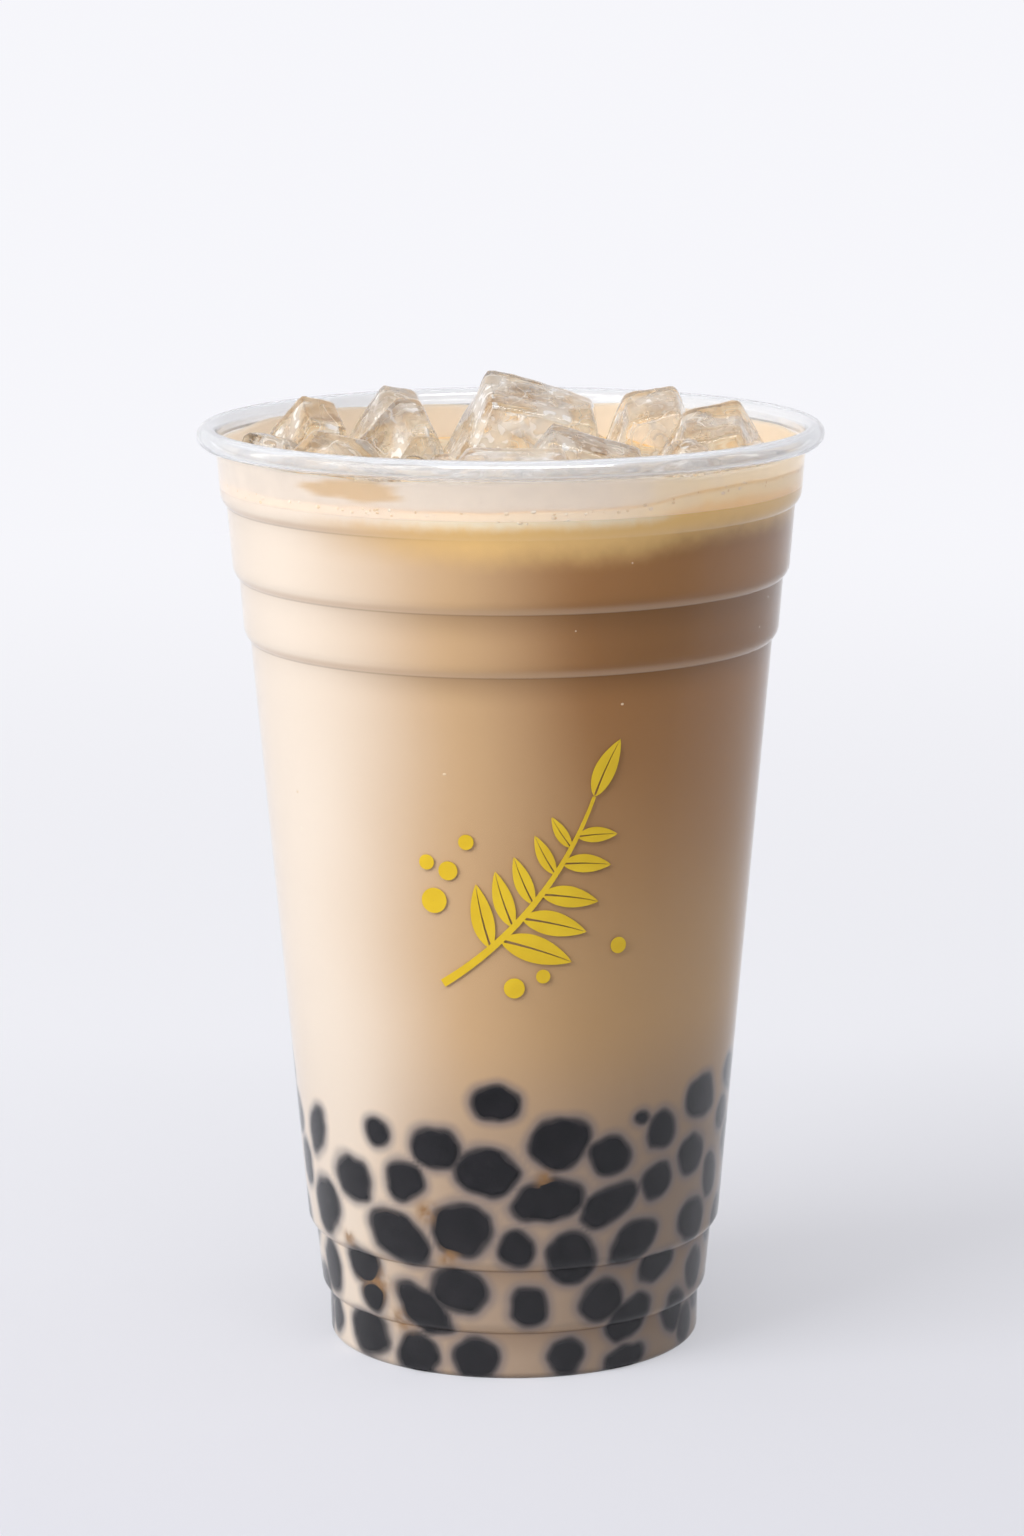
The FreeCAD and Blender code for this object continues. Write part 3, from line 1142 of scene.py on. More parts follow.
@dataclass
class MilkDrink:
    """The drink up to its level, with pockets where the ice lies in it."""

    shape: CupShape
    reach: float = 0.12  # how far its skin lies inside the wall
    facets: int = 300
    fine_run: float = 0.55
    rings_on_top: int = 56
    climb: float = 2.0  # how far the froth climbs the wall on the right
    climb_width: float = 3.5
    climb_fall: float = 8.0  # how far down the wall its pull is felt
    pearls_below: float = 54.0  # the skin is fine only up to this height
    far_from_pearls: float = 3.0
    top_depth: float = 3.0  # the depth that the surface counts as
    pocket_overlap: float = 0.15  # how far the drink reaches into the ice
    stains: tuple[Point3, ...] = (  # of brown sugar: how far round, how high, how large
        (-44, 14.2, 2.6), (-36, 24.5, 1.4), (-24, 27.5, 1.6), (-36, 8.2, 1.8), (-18, 20.4, 1.5),
        (-52, 20.5, 1.2), (8, 33.5, 1.2), (140, 20, 2.2), (205, 33, 1.8))

    def climb_at(self, across: np.ndarray) -> np.ndarray:
        """How far the froth climbs the wall.

        Args:
            across: How far round, in degrees.

        Returns:
            The climb at each place.
        """
        wave = 0.12 * np.sin(np.radians(across) * 9.0) + 0.08 * np.sin(np.radians(across) * 23.0)
        return self.climb * smooth(across, 16.0, 44.0) * smooth(across, 122.0, 92.0) + wave

    def build(self, pearls: bpy.types.Object, ice: Sequence[bpy.types.Object]) -> bpy.types.Object:
        """Turn the drink, carve it round the ice and mark what its finish needs.

        Args:
            pearls: The pearls, whose nearness greys the milk.
            ice: The chunks that lie in it.

        Returns:
            The drink.
        """
        line = self._thinned(
            self.shape.inside_line(self.shape.level, self.reach, self.fine_run))
        edge = line[-1][0]
        step = edge / self.rings_on_top
        line += [(edge - step * k, self.shape.level) for k in range(1, self.rings_on_top + 1)]
        piece = Lathe(MilkTones().material()).turn("milk_drink", line, self.facets)
        points = points_of(piece.data)
        on_top = points[:, 2] > self.shape.level - 1e-3
        self._carve(points, on_top, ice)
        self._lift(points, on_top)
        move_points(piece.data, points)
        surface = self.shape.level + self.climb_at(across_of(points))
        hold(piece.data, "depth", np.where(on_top, self.top_depth, surface - points[:, 2]))
        hold(piece.data, "top", on_top * smooth(radii_of(points), edge - 0.3, edge - 2.4))
        hold(piece.data, "pearl_gap", self._gaps(points, pearls))
        hold(piece.data, "rust", self._rust(points))
        hand_over(piece, Slot.MILK, "drink")
        return piece

    def _thinned(self, line: list[Point2]) -> list[Point2]:
        """Keep fine steps only where pearls show, and every third point above them."""
        high = [point for point in line if point[1] > self.pearls_below]
        return [point for point in line if point[1] <= self.pearls_below] + high[::3] + [line[-1]]

    def _carve(self, points: np.ndarray, on_top: np.ndarray,
               ice: Sequence[bpy.types.Object]) -> None:
        """Sink the surface to the underside of each chunk, reaching just into it.

        Args:
            points: The drink's points, which are moved.
            on_top: Which of them lie on its surface.
            ice: The chunks.
        """
        search = BVHTree.FromPolygons(*joined(ice))
        below = 30.0
        order = {}
        for index in np.flatnonzero(on_top):
            x, y, z = points[index]
            ring = round(math.hypot(x, y), 2)
            turn = round(math.degrees(math.atan2(y, x)) * self.facets / 360) % self.facets
            hit = search.ray_cast(Vector((x, y, z - below)), Vector((0, 0, 1)), below)[0]
            order[index] = (ring, turn, z if hit is None else hit.z + self.pocket_overlap)
        rings = sorted({ring for ring, _, _ in order.values()})
        rank = {ring: k for k, ring in enumerate(rings)}
        depth = np.full((len(rings), self.facets), -1e9)
        for ring, turn, height in order.values():
            depth[rank[ring], turn] = height
        depth[0, :] = depth[0].max()
        grown = depth.copy()
        for ring_step in (-1, 0, 1):
            for turn_step in (-1, 0, 1):
                shifted = np.roll(depth, turn_step, 1)
                shifted = shifted[np.clip(np.arange(len(rings)) + ring_step, 0, len(rings) - 1)]
                grown = np.maximum(grown, shifted)
        for index, (ring, turn, _) in order.items():
            points[index, 2] = grown[rank[ring], turn]

    def _lift(self, points: np.ndarray, on_top: np.ndarray) -> None:
        """Raise the surface where froth climbs the wall.

        Args:
            points: The drink's points, which are moved.
            on_top: Which of them lie on its surface.
        """
        radius = radii_of(points)
        climb = self.climb_at(across_of(points))
        level = self.shape.level
        edge = float(self.shape.inner_radius(level)) + self.reach
        near = smooth(radius, edge - self.climb_width, edge)
        at_level = on_top & (points[:, 2] > level - 0.01)
        points[at_level, 2] += (climb * near)[at_level]
        wall = ~on_top & (points[:, 2] > level - self.climb_fall)
        share = ((points[:, 2] - level) / self.climb_fall + 1) ** 2
        points[wall, 2] += (climb * share)[wall]
        skin = wall | (on_top & (radius > edge - 0.01))
        wanted = self.shape.inner_radius(points[:, 2]) + self.reach
        points[skin, :2] *= (wanted / radius)[skin, None]

    def _gaps(self, points: np.ndarray, pearls: bpy.types.Object) -> np.ndarray:
        """Find how far the nearest pearl is.

        Args:
            points: The points of the skin.
            pearls: The pearls.

        Returns:
            The gap at each point.
        """
        search = BVHTree.FromPolygons(*joined([pearls]))
        gaps = np.full(len(points), self.far_from_pearls)
        near_height = self.pearls_below + 2.0
        for index in np.flatnonzero(points[:, 2] < near_height):
            found = search.find_nearest(Vector(points[index]), self.far_from_pearls)[3]
            if found is not None:
                gaps[index] = found
        return gaps

    def _rust(self, points: np.ndarray) -> np.ndarray:
        """Find how strongly brown sugar stains each point.

        Args:
            points: The points of the skin.

        Returns:
            The strength, from 0 to 1.
        """
        total = np.zeros(len(points))
        across = across_of(points)
        for angle, height, size in self.stains:
            turn = np.radians((across - angle + 180) % 360 - 180) * radii_of(points)
            total += np.exp(-(turn ** 2 + (points[:, 2] - height) ** 2) / size ** 2)
        return np.clip(total * 1.2, 0.0, 1.0)


# --- Ice --------------------------------------------------------------------------------


@dataclass(frozen=True)
class ClearIce:
    """Wet, clear ice."""

    index: float = 1.31
    roughness: float = 0.02

    def material(self) -> bpy.types.Material:
        """Make the material.

        Returns:
            The material.
        """
        shades = Shades("clear_ice")
        spot = shades.spot()
        waves = shades.grain(spot, 5.0, 1.0) + shades.grain(spot, 1.3, 1.0) * 0.16
        ice = shades.principled(
            Base_Color=(0.994, 0.987, 0.974, 1), Roughness=self.roughness, IOR=self.index,
            Transmission_Weight=1.0, Normal=shades.bump(waves, 0.3, 0.4))
        return shades.close(shades.lets_lamps_through(ice, (0.96, 0.95, 0.94, 1)))


@dataclass(frozen=True)
class FrostVeil:
    """The cloudy cores and white cracks inside the ice, with brown patches of painted refraction.
    """

    cloud: float = 0.45
    crack: float = 0.45
    shatter: float = 0.85

    def material(self) -> bpy.types.Material:
        """Make the material.

        Returns:
            The material.
        """
        shades = Shades("ice_frost")
        spot = shades.spot()
        patch = shades.grain(spot, 6.5, 1.0)
        swirl = shades.grain(spot, 9.0, 1.0, 0.8)
        cloud = patch.step(0.42, 0.66) * self.cloud
        vein = (swirl - 0.5).of("ABSOLUTE").step(0.012, 0.0)
        shatter = shades.grain(spot, 1.2, 0.0).step(0.54, 0.64)
        shatter = shatter * patch.step(0.50, 0.60) * self.shatter
        cover = cloud.most(vein * self.crack).most(shatter)
        # The brown patches are painted refraction: the brown drink as it shows through the ice.
        tone = shades.blend(swirl.step(0.52, 0.64),
                            paint(255, 251, 244), paint(190, 150, 100))
        tone = shades.blend(shatter, tone, paint(255, 254, 252))
        veil = shades.principled(
            Base_Color=tone, Roughness=0.6, Specular_IOR_Level=0.0, Alpha=cover)
        return shades.close(veil)


class Cut(NamedTuple):
    """A plane that trims a chunk: what lies on the side of its normal goes."""

    node: str
    spot: Point3
    normal: Point3


@dataclass
class IceHeap:
    """The chunks of ice that stand out of the drink, with the shards between them."""

    shape: CupShape
    voxel: float = 0.6
    core_depth: float = 1.3
    worn: float = 0.18  # how deep melting wears a face
    worn_most: float = 0.8
    dents: Point2 = (7.0, 0.5)  # how wide and how deep
    pits: Point2 = (2.6, 0.10)  # how wide and how deep
    reach: float = 0.1  # how far ice may reach into the wall
    seed: int = 5
    shard_sizes: tuple[float, ...] = (15.0, 13.0, 11.5, 10.0, 8.5, 7.0)
    shard_tries: int = 70
    shard_reach: float = 43.0
    shard_corners: int = 10
    shard_wall_gap: float = 0.3
    shard_stands: Point2 = (0.22, 0.50)  # how much of it stands out of the drink
    cuts: tuple[Cut, ...] = (
        Cut("ice_01", (3.0, 0.0, 152.6), (0.33, 0.0, 0.944)),
        Cut("ice_01", (12.8, 0.0, 149.2), (0.855, 0.0, 0.52)),
    )

    def nodes(self) -> list[str]:
        """The names of the chunks."""
        return sorted(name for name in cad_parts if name.startswith("ice_"))

    def build(self) -> list[bpy.types.Object]:
        """Melt every chunk, fill the gaps with shards and set cloudy cores in them.

        Returns:
            The chunks and the shards.
        """
        ice = ClearIce().material()
        chunks = [self._melted(f"{node}_chunk", self._block(node), number, ice)
                  for number, node in enumerate(self.nodes(), 1)]
        loose = self._shards(chunks, ice)
        cores = self._cores(chunks + [loose])
        for chunk, node in zip(chunks, self.nodes()):
            hand_over(chunk, Slot.ICE, node)
        hand_over(loose, Slot.ICE)
        hand_over(cores, Slot.ICE)
        return chunks + [loose]

    def _block(self, node: str) -> bpy.types.Mesh:
        """Copy a packed chunk, sealed and trimmed.

        Args:
            node: Its name.

        Returns:
            The mesh.
        """
        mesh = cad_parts[node].data.copy()
        mesh.materials.clear()
        with edited(mesh) as form:
            for cut in (cut for cut in self.cuts if cut.node == node):
                split = bmesh.ops.bisect_plane(
                    form, geom=form.verts[:] + form.edges[:] + form.faces[:], clear_outer=True,
                    plane_co=Vector(cut.spot) * METRE, plane_no=cut.normal)
                edges = [e for e in split["geom_cut"] if isinstance(e, bmesh.types.BMEdge)]
                bmesh.ops.holes_fill(form, edges=edges)
        return mesh

    def _melted(self, name: str, mesh: bpy.types.Mesh, number: int,
                material: bpy.types.Material) -> bpy.types.Object:
        """Remesh a block evenly, round it and wear it as melting does.

        Args:
            name: The name of the piece.
            mesh: The block.
            number: Which of the blocks it is, so that each wears in its own way.
            material: Its finish.

        Returns:
            The piece.
        """
        mesh.name = name
        piece = placed(name, mesh)
        remesh = piece.modifiers.new("even", "REMESH")
        remesh.mode = "VOXEL"
        remesh.voxel_size = self.voxel * METRE
        worn = piece.modifiers.new("worn", "SMOOTH")
        worn.factor, worn.iterations = 0.5, 3
        applied(piece)
        self._wear(piece.data, number)
        piece.data.materials.append(material)
        soften(piece.data)
        return piece

    def _wear(self, mesh: bpy.types.Mesh, number: int) -> None:
        """Hollow the faces and dent the edges, inwards only.

        Args:
            mesh: The block.
            number: Which of the blocks it is.
        """
        points = points_of(mesh)
        shift = Vector((number * 7.3, number * 3.1, number * 5.7))
        depth = np.empty(len(points))
        for index, point in enumerate(points):
            here = Vector(point) + shift
            depth[index] = self.worn
            for wide, deep in (self.dents, self.pits):
                depth[index] -= noise.noise(here / wide) * deep
        points -= read(mesh, "normal") * np.clip(depth, 0.0, self.worn_most)[:, None]
        self.shape.kept_in(points, self.reach)
        move_points(mesh, points)

    def _shards(self, chunks: Sequence[bpy.types.Object],
                material: bpy.types.Material) -> bpy.types.Object:
        """Make small irregular blocks in the gaps, the largest that fit first.

        Args:
            chunks: The ice that is already there.
            material: Their finish.

        Returns:
            The shards, as one piece.
        """
        dice = random.Random(self.seed)
        taken = [BVHTree.FromPolygons(*joined([chunk])) for chunk in chunks]
        form = bmesh.new()
        for size in self.shard_sizes:
            for _ in range(self.shard_tries):
                corners = self._corners(dice, size)
                block = bmesh.new()
                bmesh.ops.convex_hull(block, input=[block.verts.new(c) for c in corners])
                search = BVHTree.FromBMesh(block)
                middle = sum(corners, Vector()) / len(corners)
                held = all(
                    math.hypot(c.x, c.y) < self.shape.inner_radius(c.z) - self.shard_wall_gap
                    for c in corners)
                clear = not any(search.overlap(other) or self._inside(other, middle)
                                for other in taken)
                if held and clear:
                    taken.append(search)
                    fresh = {v: form.verts.new(v.co * METRE) for v in block.verts}
                    for face in block.faces:
                        form.faces.new([fresh[v] for v in face.verts])
                block.free()
        mesh = bpy.data.meshes.new("ice_shards")
        form.to_mesh(mesh)
        form.free()
        return self._melted("ice_shards", mesh, 20, material)

    def _corners(self, dice: random.Random, size: float) -> list[Vector]:
        """Draw the corners of one loose block somewhere in the cup.

        Args:
            dice: What the draws come from.
            size: How large the block is.

        Returns:
            The corners, in millimetres.
        """
        ways = [Vector((dice.gauss(0, 1), dice.gauss(0, 1), dice.gauss(0, 1))).normalized()
                for _ in range(self.shard_corners)]
        turn = Euler([dice.uniform(0, math.pi) for _ in range(3)]).to_matrix()
        # A block is widest along its own X, and the heap is lower towards the wall.
        shares = Vector((1.0, dice.uniform(0.65, 0.95), dice.uniform(0.5, 0.8)))
        spots = [turn @ (way * shares) * size * 0.6 for way in ways]
        bearing = dice.uniform(0, 2 * math.pi)
        reach = self.shard_reach * math.sqrt(dice.random())
        high = max(spot.z for spot in spots)
        top = dice.uniform(*self.shard_stands) * size * (1.05 - 0.4 * reach / self.shard_reach)
        centre = Vector((reach * math.cos(bearing), reach * math.sin(bearing),
                         self.shape.level + top - high))
        return [spot + centre for spot in spots]

    @staticmethod
    def _inside(search: BVHTree, spot: Vector) -> bool:
        """True if a point lies inside a closed block."""
        near, normal, _, _ = search.find_nearest(spot)
        return (near - spot).dot(normal) > 0

    def _cores(self, blocks: Sequence[bpy.types.Object]) -> bpy.types.Object:
        """Set a smaller copy of every block inside it, for its cloudy heart.

        Args:
            blocks: The chunks and the shards.

        Returns:
            The hearts, as one piece.
        """
        mesh = mesh_of("ice_cores", *joined(blocks, self.core_depth))
        mesh.materials.append(FrostVeil().material())
        soften(mesh)
        return placed("ice_cores", mesh)


# --- Film and froth on the wall ---------------------------------------------------------


@dataclass(frozen=True)
class MilkFilmFinish:
    """The see-through milk that clings to the wall above the drink."""

    front: Colour = paint(254, 247, 240)
    right: Colour = paint(255, 238, 200)
    back: Colour = paint(248, 231, 206)
    window: Colour = paint(240, 202, 148)
    through: Colour = paint(255, 247, 236)
    through_share: float = 0.6  # how much of the light it shows comes from behind it

    def material(self) -> bpy.types.Material:
        """Make the material.

        Returns:
            The material.
        """
        shades = Shades("milk_film")
        spot = shades.spot()
        x, y, _ = shades.axes(spot)
        streak = shades.grain(spot, 6.0, 2.0)
        # Towards the right the film turns yellow, which is painted glow of light through the milk.
        colour = shades.blend((x + streak * 14.0).step(18.0, 42.0), self.front, self.right)
        colour = shades.blend(y.step(-10.0, 20.0), colour, self.back)
        cover = shades.measured("cover") * (0.94 + 0.06 * streak.step(0.3, 0.6))
        colour = shades.blend(shades.measured("window"), colour, self.window)
        film = shades.principled(Base_Color=colour, Roughness=0.4, Specular_IOR_Level=0.0)
        lit_through = shades.plain("BsdfTranslucent", self.through)
        milky = shades.mixed(self.through_share, film, lit_through)
        return shades.close(shades.mixed(cover, shades.plain("BsdfTransparent", WHITE), milky))


@dataclass
class WallFilm:
    """The film of milk between the drink's edge and the rim."""

    shape: CupShape
    facets: int = 360
    rows: int = 12
    below_level: float = 1.5
    top_front: float = 143.2
    top_back: float = 144.3
    inner: float = -0.05
    outer: float = 0.16
    window_across: float = -31.5
    window_height: float = 141.3
    window_half: Point2 = (11.0, 1.7)  # degrees, millimetres
    window_clear: float = 0.25  # how much of the film is missing in it
    thin_cover: float = 0.55  # how much the film covers at its upper edge

    def build(self) -> bpy.types.Object:
        """Turn the strip, cut its uneven edges and open the window where ice touches.

        Returns:
            The piece.
        """
        low, high = self.shape.level - self.below_level, self.top_back
        heights = [low + (high - low) * k / self.rows for k in range(self.rows + 1)]
        faces = [[(float(self.shape.inner_radius(h)) + out, h) for h in heights]
                 for out in (self.outer, self.inner)]
        loop = faces[0] + faces[1][::-1] + faces[0][:1]
        piece = Lathe(MilkFilmFinish().material()).turn("milk_film", loop, self.facets)
        points = points_of(piece.data)
        across = across_of(points)
        share = (points[:, 2] - low) / (high - low)
        behind = smooth(np.abs(across), 60.0, 130.0)
        bearing = np.radians(across)
        wave = 0.25 * np.sin(bearing * 5.0 + 1.0) + 0.12 * np.sin(bearing * 17.0)
        top = self.top_front + (self.top_back - self.top_front) * behind + wave
        radius = radii_of(points)
        proud = radius - self.shape.inner_radius(points[:, 2])
        points[:, 2] = low + share * (top - low)
        wanted = self.shape.inner_radius(points[:, 2]) + proud
        points[:, :2] *= (wanted / radius)[:, None]
        move_points(piece.data, points)
        turn = (across - self.window_across) / self.window_half[0]
        lift = (points[:, 2] - self.window_height) / self.window_half[1]
        round_it = np.arctan2(lift, turn)
        uneven = 0.14 * np.sin(3 * round_it + 1.0) + 0.08 * np.sin(7 * round_it + 2.0)
        window = smooth(np.hypot(turn, lift) + uneven, 1.15, 0.75)
        hold(piece.data, "window", window)
        body = self.thin_cover + (1.0 - self.thin_cover) * smooth(share, 1.0, 0.9)
        hold(piece.data, "cover", (1.0 - self.window_clear * window) * body)
        hand_over(piece, Slot.MILK)
        return piece


@dataclass(frozen=True)
class FrothFinish:
    """Pale bubbles, darker in soft patches."""

    def material(self) -> bpy.types.Material:
        """Make the material.

        Returns:
            The material.
        """
        shades = Shades("froth")
        colour = shades.blend(shades.grain(shades.spot(), 1.5, 2.0).step(0.35, 0.65),
                              paint(232, 206, 170), paint(248, 236, 218))
        return shades.close(shades.principled(Base_Color=colour, Roughness=0.3))


@dataclass
class FrothBeads:
    """Small bubbles along the drink's edge and a few under it."""

    shape: CupShape
    drink: MilkDrink
    along_edge: int = 150
    below: int = 28
    half_depth: float = 0.1
    edge_spread: float = 0.8
    edge_sizes: Point2 = (0.10, 0.34)
    depths_below: Point2 = (6, 60)
    sizes_below: Point2 = (0.08, 0.20)
    seed: int = 23

    def build(self) -> bpy.types.Object:
        """Strew the bubbles on the wall, each pressed flat.

        Returns:
            The piece.
        """
        dice = random.Random(self.seed)
        balls = []
        for number in range(self.along_edge + self.below):
            across = dice.uniform(-180, 180)
            edge = self.shape.level + float(self.drink.climb_at(np.array([across]))[0])
            if number < self.along_edge:
                height = edge - abs(dice.gauss(0.0, self.edge_spread))
                size = dice.uniform(*self.edge_sizes)
            else:
                height = edge - dice.uniform(*self.depths_below)
                size = dice.uniform(*self.sizes_below)
            balls.append(Ball(self.shape.spot(across, height, self.half_depth),
                              (0.0, 0.0, math.radians(across + FRONT)),
                              (self.half_depth, size * dice.uniform(0.8, 1.8), size)))
        piece = PearlForming(FrothFinish().material()).lay("froth_beads", balls, 12, 8)
        hand_over(piece, Slot.MILK)
        return piece


# --- The print --------------------------------------------------------------------------


@dataclass(frozen=True)
class YellowInk:
    """Opaque yellow screen ink."""

    def material(self) -> bpy.types.Material:
        """Make the material.

        Returns:
            The material.
        """
        shades = Shades("yellow_ink")
        spot = shades.spot()
        colour = shades.blend(shades.grain(spot, 7.0, 2.0).step(0.35, 0.65),
                              paint(238, 202, 40), paint(230, 192, 34))
        pin = shades.bump(shades.grain(spot, 0.35, 1.0), 0.02, 0.5)
        return shades.close(shades.principled(Base_Color=colour, Roughness=0.38, Normal=pin))


@dataclass
class PrintedSprig:
    """A plain leafy sprig with berries, printed on the wall."""

    shape: CupShape
    middle_x: float = 2.3
    foot: float = 61.5
    proud: float = 0.02
    thick: float = 0.05
    stem_width: float = 1.1
    leaf_share: float = 0.36
    leaf_vein: float = 0.09

    def __post_init__(self) -> None:
        """Start with nothing drawn."""
        self.points: list[Point2] = []
        self.faces: list[list[int]] = []

    def _sheet(self, rows: Sequence[Sequence[Point2]]) -> None:
        """Add a strip of quads.

        Args:
            rows: Its rows of points, all of the same length.
        """
        start, wide = len(self.points), len(rows[0])
        for row in rows:
            self.points += [tuple(point) for point in row]
        for i in range(len(rows) - 1):
            for j in range(wide - 1):
                a = start + i * wide + j
                self.faces.append([a, a + 1, a + wide + 1, a + wide])

    def leaf(self, base: Point2, length: float, width: float, angle: float) -> None:
        """Two half leaves with a bare vein between them.

        Args:
            base: Where it leaves the stem.
            length: From base to tip.
            width: At its widest.
            angle: Of its axis, in degrees from the upward line towards +X.
        """
        way = np.array((math.sin(math.radians(angle)), math.cos(math.radians(angle))))
        out = right_of(way)
        for side in (-1, 1):
            rows = []
            for share in np.linspace(0.0, 1.0, 17):
                half = width / 2 * math.sin(math.pi * share ** 0.85) ** 0.8
                bend = 0.10 * length * share * share
                spine = np.array(base) + way * length * share + out * bend
                inner = min(self.leaf_vein * width / 2 * (1.2 - share), half)
                rows.append([spine + out * side * (inner + (half - inner) * j / 3)
                             for j in range(4)])
            self._sheet(rows if side > 0 else [row[::-1] for row in rows])

    def disc(self, centre: Point2, radius: float) -> None:
        """A berry.

        Args:
            centre: Its middle.
            radius: Its radius.
        """
        self._sheet([[(centre[0] + radius * ring * math.cos(turn),
                       centre[1] + radius * ring * math.sin(turn))
                      for ring in (0.02, 0.35, 0.7, 1.0)]
                     for turn in np.linspace(0.0, 2 * math.pi, 25)])

    def sprig(self, foot: Point2, length: float, lean: float, curl: float, pairs: int,
              leaf: float) -> None:
        """A stem with leaves on both sides and one at its tip.

        Args:
            foot: Where the stem starts.
            length: Its length.
            lean: Its first direction, in degrees from the upward line towards +X.
            curl: How many degrees it turns on its way.
            pairs: How many pairs of leaves it has.
            leaf: The length of the lowest leaves.
        """
        steps = 40
        spots, ways = [np.array(foot, float)], []
        for k in range(steps):
            turn = math.radians(lean + curl * k / steps)
            ways.append(np.array((math.sin(turn), math.cos(turn))))
            spots.append(spots[-1] + ways[-1] * length / steps)
        ways.append(ways[-1])
        rows = []  # of the stem, which thins towards its tip
        for k, (spot, way) in enumerate(zip(spots, ways)):
            side = right_of(way) * self.stem_width / 2 * (1.2 - 0.7 * k / steps)
            rows.append([spot - side, spot, spot + side])
        self._sheet(rows)
        # The left leaf of a pair is smaller and sits lower, and each pair is smaller.
        for number in range(pairs):
            place = round(steps * (0.24 + 0.68 * number / pairs))
            size = leaf * (1 - 0.11 * number)
            heading = lean + curl * place / steps
            self.leaf(spots[place], size * 0.86, size * self.leaf_share * 0.8, heading - 66)
            self.leaf(spots[place + 2], size * 0.96, size * self.leaf_share, heading + 56)
        self.leaf(spots[-1], leaf * 0.8, leaf * 0.8 * self.leaf_share, lean + curl)

    def draw(self) -> None:
        """Draw the whole print, in millimetres from its own foot."""
        self.sprig((-13.0, 3.5), 38.0, 56.0, -36.0, 5, 12.0)
        for x, y, size in ((-14.4, 16.6, 2.0), (-12.2, 21.4, 1.5), (-15.6, 22.6, 1.2),
                           (-9.4, 26.0, 1.2), (-2.0, 3.0, 1.6), (2.4, 4.8, 1.1), (14.4, 9.0, 1.3)):
            self.disc((x, y), size)

    def build(self) -> bpy.types.Object:
        """Wrap the drawing on the wall and give the ink its thickness.

        Returns:
            The piece.
        """
        self.draw()
        flat = np.array(self.points)
        height = flat[:, 1] + self.foot
        radius = self.shape.outer_radius(height) + self.proud
        offset = math.asin(self.middle_x / float(self.shape.outer_radius(self.foot + 18)))
        bearing = np.radians(FRONT) + offset + flat[:, 0] / radius
        points = np.stack((radius * np.cos(bearing), radius * np.sin(bearing), height), 1)
        mesh = mesh_of("printed_sprig", points, self.faces)
        with edited(mesh) as form:
            bmesh.ops.dissolve_degenerate(form, edges=form.edges, dist=SEAM)
            for face in form.faces:
                middle = face.calc_center_median()
                if face.normal.dot(Vector((middle.x, middle.y, 0))) < 0:
                    face.normal_flip()
        mesh.materials.append(YellowInk().material())
        piece = placed("printed_sprig", mesh)
        solid = piece.modifiers.new("ink", "SOLIDIFY")
        solid.thickness, solid.offset = self.thick * METRE, 1.0
        applied(piece)
        hand_over(piece, Slot.INK)
        return piece


# --- Floor, light and camera ------------------------------------------------------------


class Lamp(NamedTuple):
    """A soft rectangular lamp that looks at the cup."""

    name: str
    place: Point3  # metres
    size: Point2  # metres
    watts: float
    tint: Point3 = (1.0, 1.0, 1.0)
    mirrored: bool = True  # whether glass shows it
    lights: bool = True  # whether it lights matt surfaces


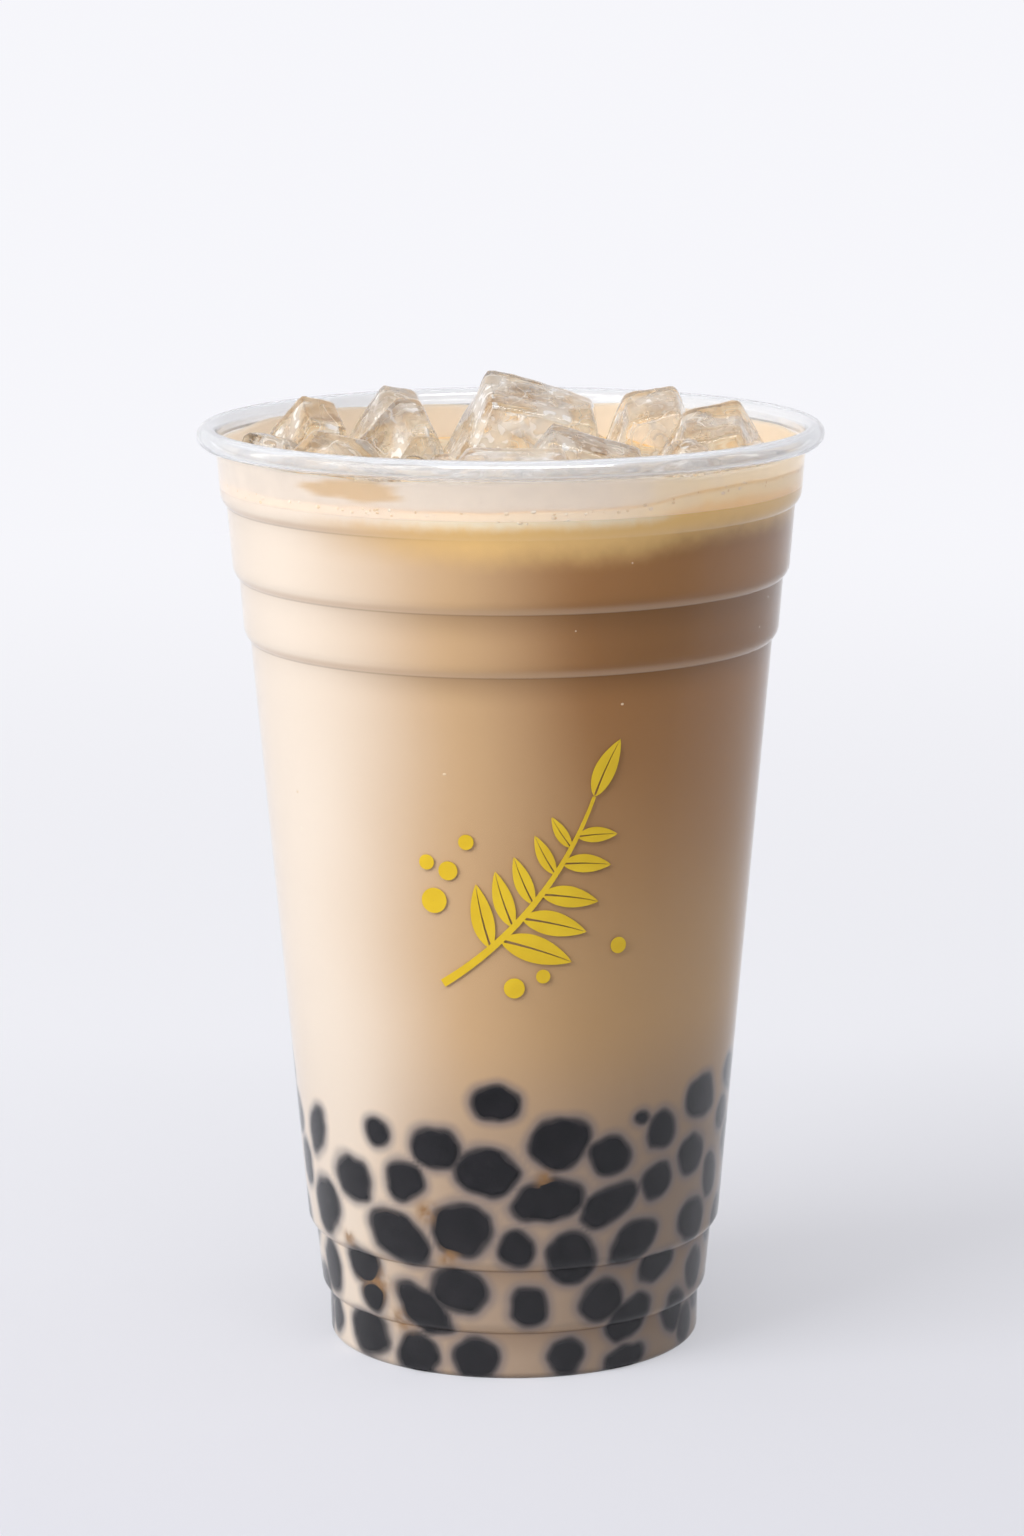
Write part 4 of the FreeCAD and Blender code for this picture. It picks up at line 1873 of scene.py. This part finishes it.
@dataclass
class Studio:
    """A pale floor that sweeps up behind, soft light from the left, and the camera."""

    floor_half: float = 6.0  # metres
    camera_back: float = 0.80
    camera_height: float = 0.2445
    camera_down: float = 10.82
    camera_roll: float = 0.22
    lens: float = 120.66
    looked_at: Point3 = (0.0, 0.0, 0.07)  # where the lamps look
    fill: float = 0.51  # the strength of the room's light on matt surfaces
    lamps: tuple[Lamp, ...] = (
        Lamp("key", (-0.98, -0.70, 0.72), (0.9, 1.1), 14.6, (1.0, 0.985, 0.965), mirrored=False),
        Lamp("front_strip", (0.0, -0.75, 1.0), (1.4, 0.12), 2.6),
        Lamp("gleam", (0.10, -0.80, 1.10), (1.2, 0.4), 19.0, lights=False),
        Lamp("left_strip", (-0.95, 0.22, 0.40), (0.14, 0.8), 0.45),
        Lamp("right_strip", (0.95, 0.12, 0.42), (0.08, 0.7), 0.5),
    )

    def build(self) -> None:
        """Set everything up."""
        self._floor()
        self._world()
        for lamp in self.lamps:
            self._lamp(lamp)
        self._camera()

    def _floor(self) -> None:
        """A plain floor and the sweep behind it, as one sheet."""
        half, bend, back = self.floor_half, 1.2, 3.6
        line = [(-half, 0.0), (back, 0.0)]
        line += [(back + bend * math.sin(a), bend * (1 - math.cos(a)))
                 for a in np.linspace(0, math.pi / 2, 17)[1:]]
        line.append((back + bend, half))
        points = np.array([(x, y, z) for y, z in line for x in (-half, half)]) / METRE
        faces = [[2 * k, 2 * k + 1, 2 * k + 3, 2 * k + 2] for k in range(len(line) - 1)]
        mesh = mesh_of("studio_floor", points, faces)
        soften(mesh)
        mesh.materials.append(self._floor_finish())
        placed("studio_floor", mesh)

    @staticmethod
    def _floor_finish() -> bpy.types.Material:
        """Make a pale floor that the camera sees fade to white away from the cup.

        Returns:
            The material.
        """
        shades = Shades("studio_floor")
        x, y, z = shades.axes(shades.spot())
        reach = (x * x + y * y).of("SQRT")
        away = (y + z).step(-60.0, 900.0).most(reach.step(450.0, 1900.0))
        mirror, glass = shades.ray("Glossy"), shades.ray("Transmission")
        seen = (mirror * y.step(-250.0, 150.0)).most(glass).most(shades.ray("Camera"))
        pale, dim, near, far = (shades.plain("BsdfDiffuse", colour) for colour in (
            (0.535, 0.535, 0.55, 1), (0.22, 0.22, 0.23, 1),
            (0.66, 0.67, 0.745, 1), (0.93, 0.94, 0.99, 1)))
        unseen = shades.mixed(mirror * y.step(0.0, -120.0), pale, dim)
        lit = shades.mixed(y.step(-150.0, 260.0).most(glass), near, far)
        matt = shades.mixed(seen, unseen, lit)
        glow = seen * (0.45 + away.most(glass * 0.6) * 0.55)
        return shades.close(shades.mixed(glow, matt, shades.plain("Emission", BACKDROP)))

    def _world(self) -> None:
        """White for the camera, mirrors and glass, and a weaker fill for all else.

        Mirrors see the room behind the camera dimmer than the white backdrop.
        """
        world = bpy.data.worlds.new("studio_world")
        bpy.context.scene.world = world
        world.use_nodes = True
        graph = Graph(world.node_tree)
        way = graph.axes(graph.value("ShaderNodeTexCoord", "Generated"))
        glossy, behind = graph.ray("Glossy"), way[1].step(-0.3, 0.4)
        seen = (glossy * behind).most(graph.ray("Camera")).most(graph.ray("Transmission"))
        light = graph.value("ShaderNodeBackground", 0, inputs={
            "Color": BACKDROP,
            "Strength": self.fill + seen * (1 - self.fill) - glossy * (1 - behind) * 0.3})
        graph.node("ShaderNodeOutputWorld", inputs={"Surface": light})

    def _lamp(self, lamp: Lamp) -> None:
        """Hang one lamp and turn it to the cup.

        Args:
            lamp: The lamp.
        """
        light = bpy.data.lights.new(lamp.name, "AREA")
        light.shape = "RECTANGLE"
        light.size, light.size_y = lamp.size
        light.energy, light.color = lamp.watts, lamp.tint
        holder = placed(lamp.name, light)
        holder.location = lamp.place
        holder.visible_glossy, holder.visible_diffuse = lamp.mirrored, lamp.lights
        way = Vector(self.looked_at) - Vector(lamp.place)
        holder.rotation_euler = way.to_track_quat("-Z", "Y").to_euler()

    def _camera(self) -> None:
        """The camera, straight in front and looking a little down."""
        lens = bpy.data.cameras.new("portrait")
        lens.lens = self.lens
        lens.clip_start, lens.clip_end = 0.01, 50.0
        holder = placed("portrait", lens)
        holder.location = (0.0, -self.camera_back, self.camera_height)
        look = Euler((math.radians(90 - self.camera_down), 0.0, 0.0)).to_matrix()
        roll = Matrix.Rotation(math.radians(-self.camera_roll), 3, "Z")
        holder.rotation_euler = (look @ roll).to_euler()
        scene = bpy.context.scene
        scene.camera = holder
        scene.cycles.transparent_max_bounces = 24  # the light crosses ice, film and wall
        scene.cycles.diffuse_bounces = 3
        scene.cycles.max_bounces = 8
        scene.view_settings.view_transform = "Standard"


def main() -> None:
    """Build the drink, its cup and the studio, and note the sizes."""
    logging.basicConfig(level=logging.INFO, format="%(name)s: %(message)s")
    shape = CupShape()
    CupShell(shape).build()
    pearls = TapiocaPearls(shape).build()
    ice = IceHeap(shape).build()
    drink = MilkDrink(shape)
    drink.build(pearls, ice)
    WallFilm(shape).build()
    FrothBeads(shape, drink).build()
    PrintedSprig(shape).build()
    Studio().build()


if __name__ == "__main__":
    main()
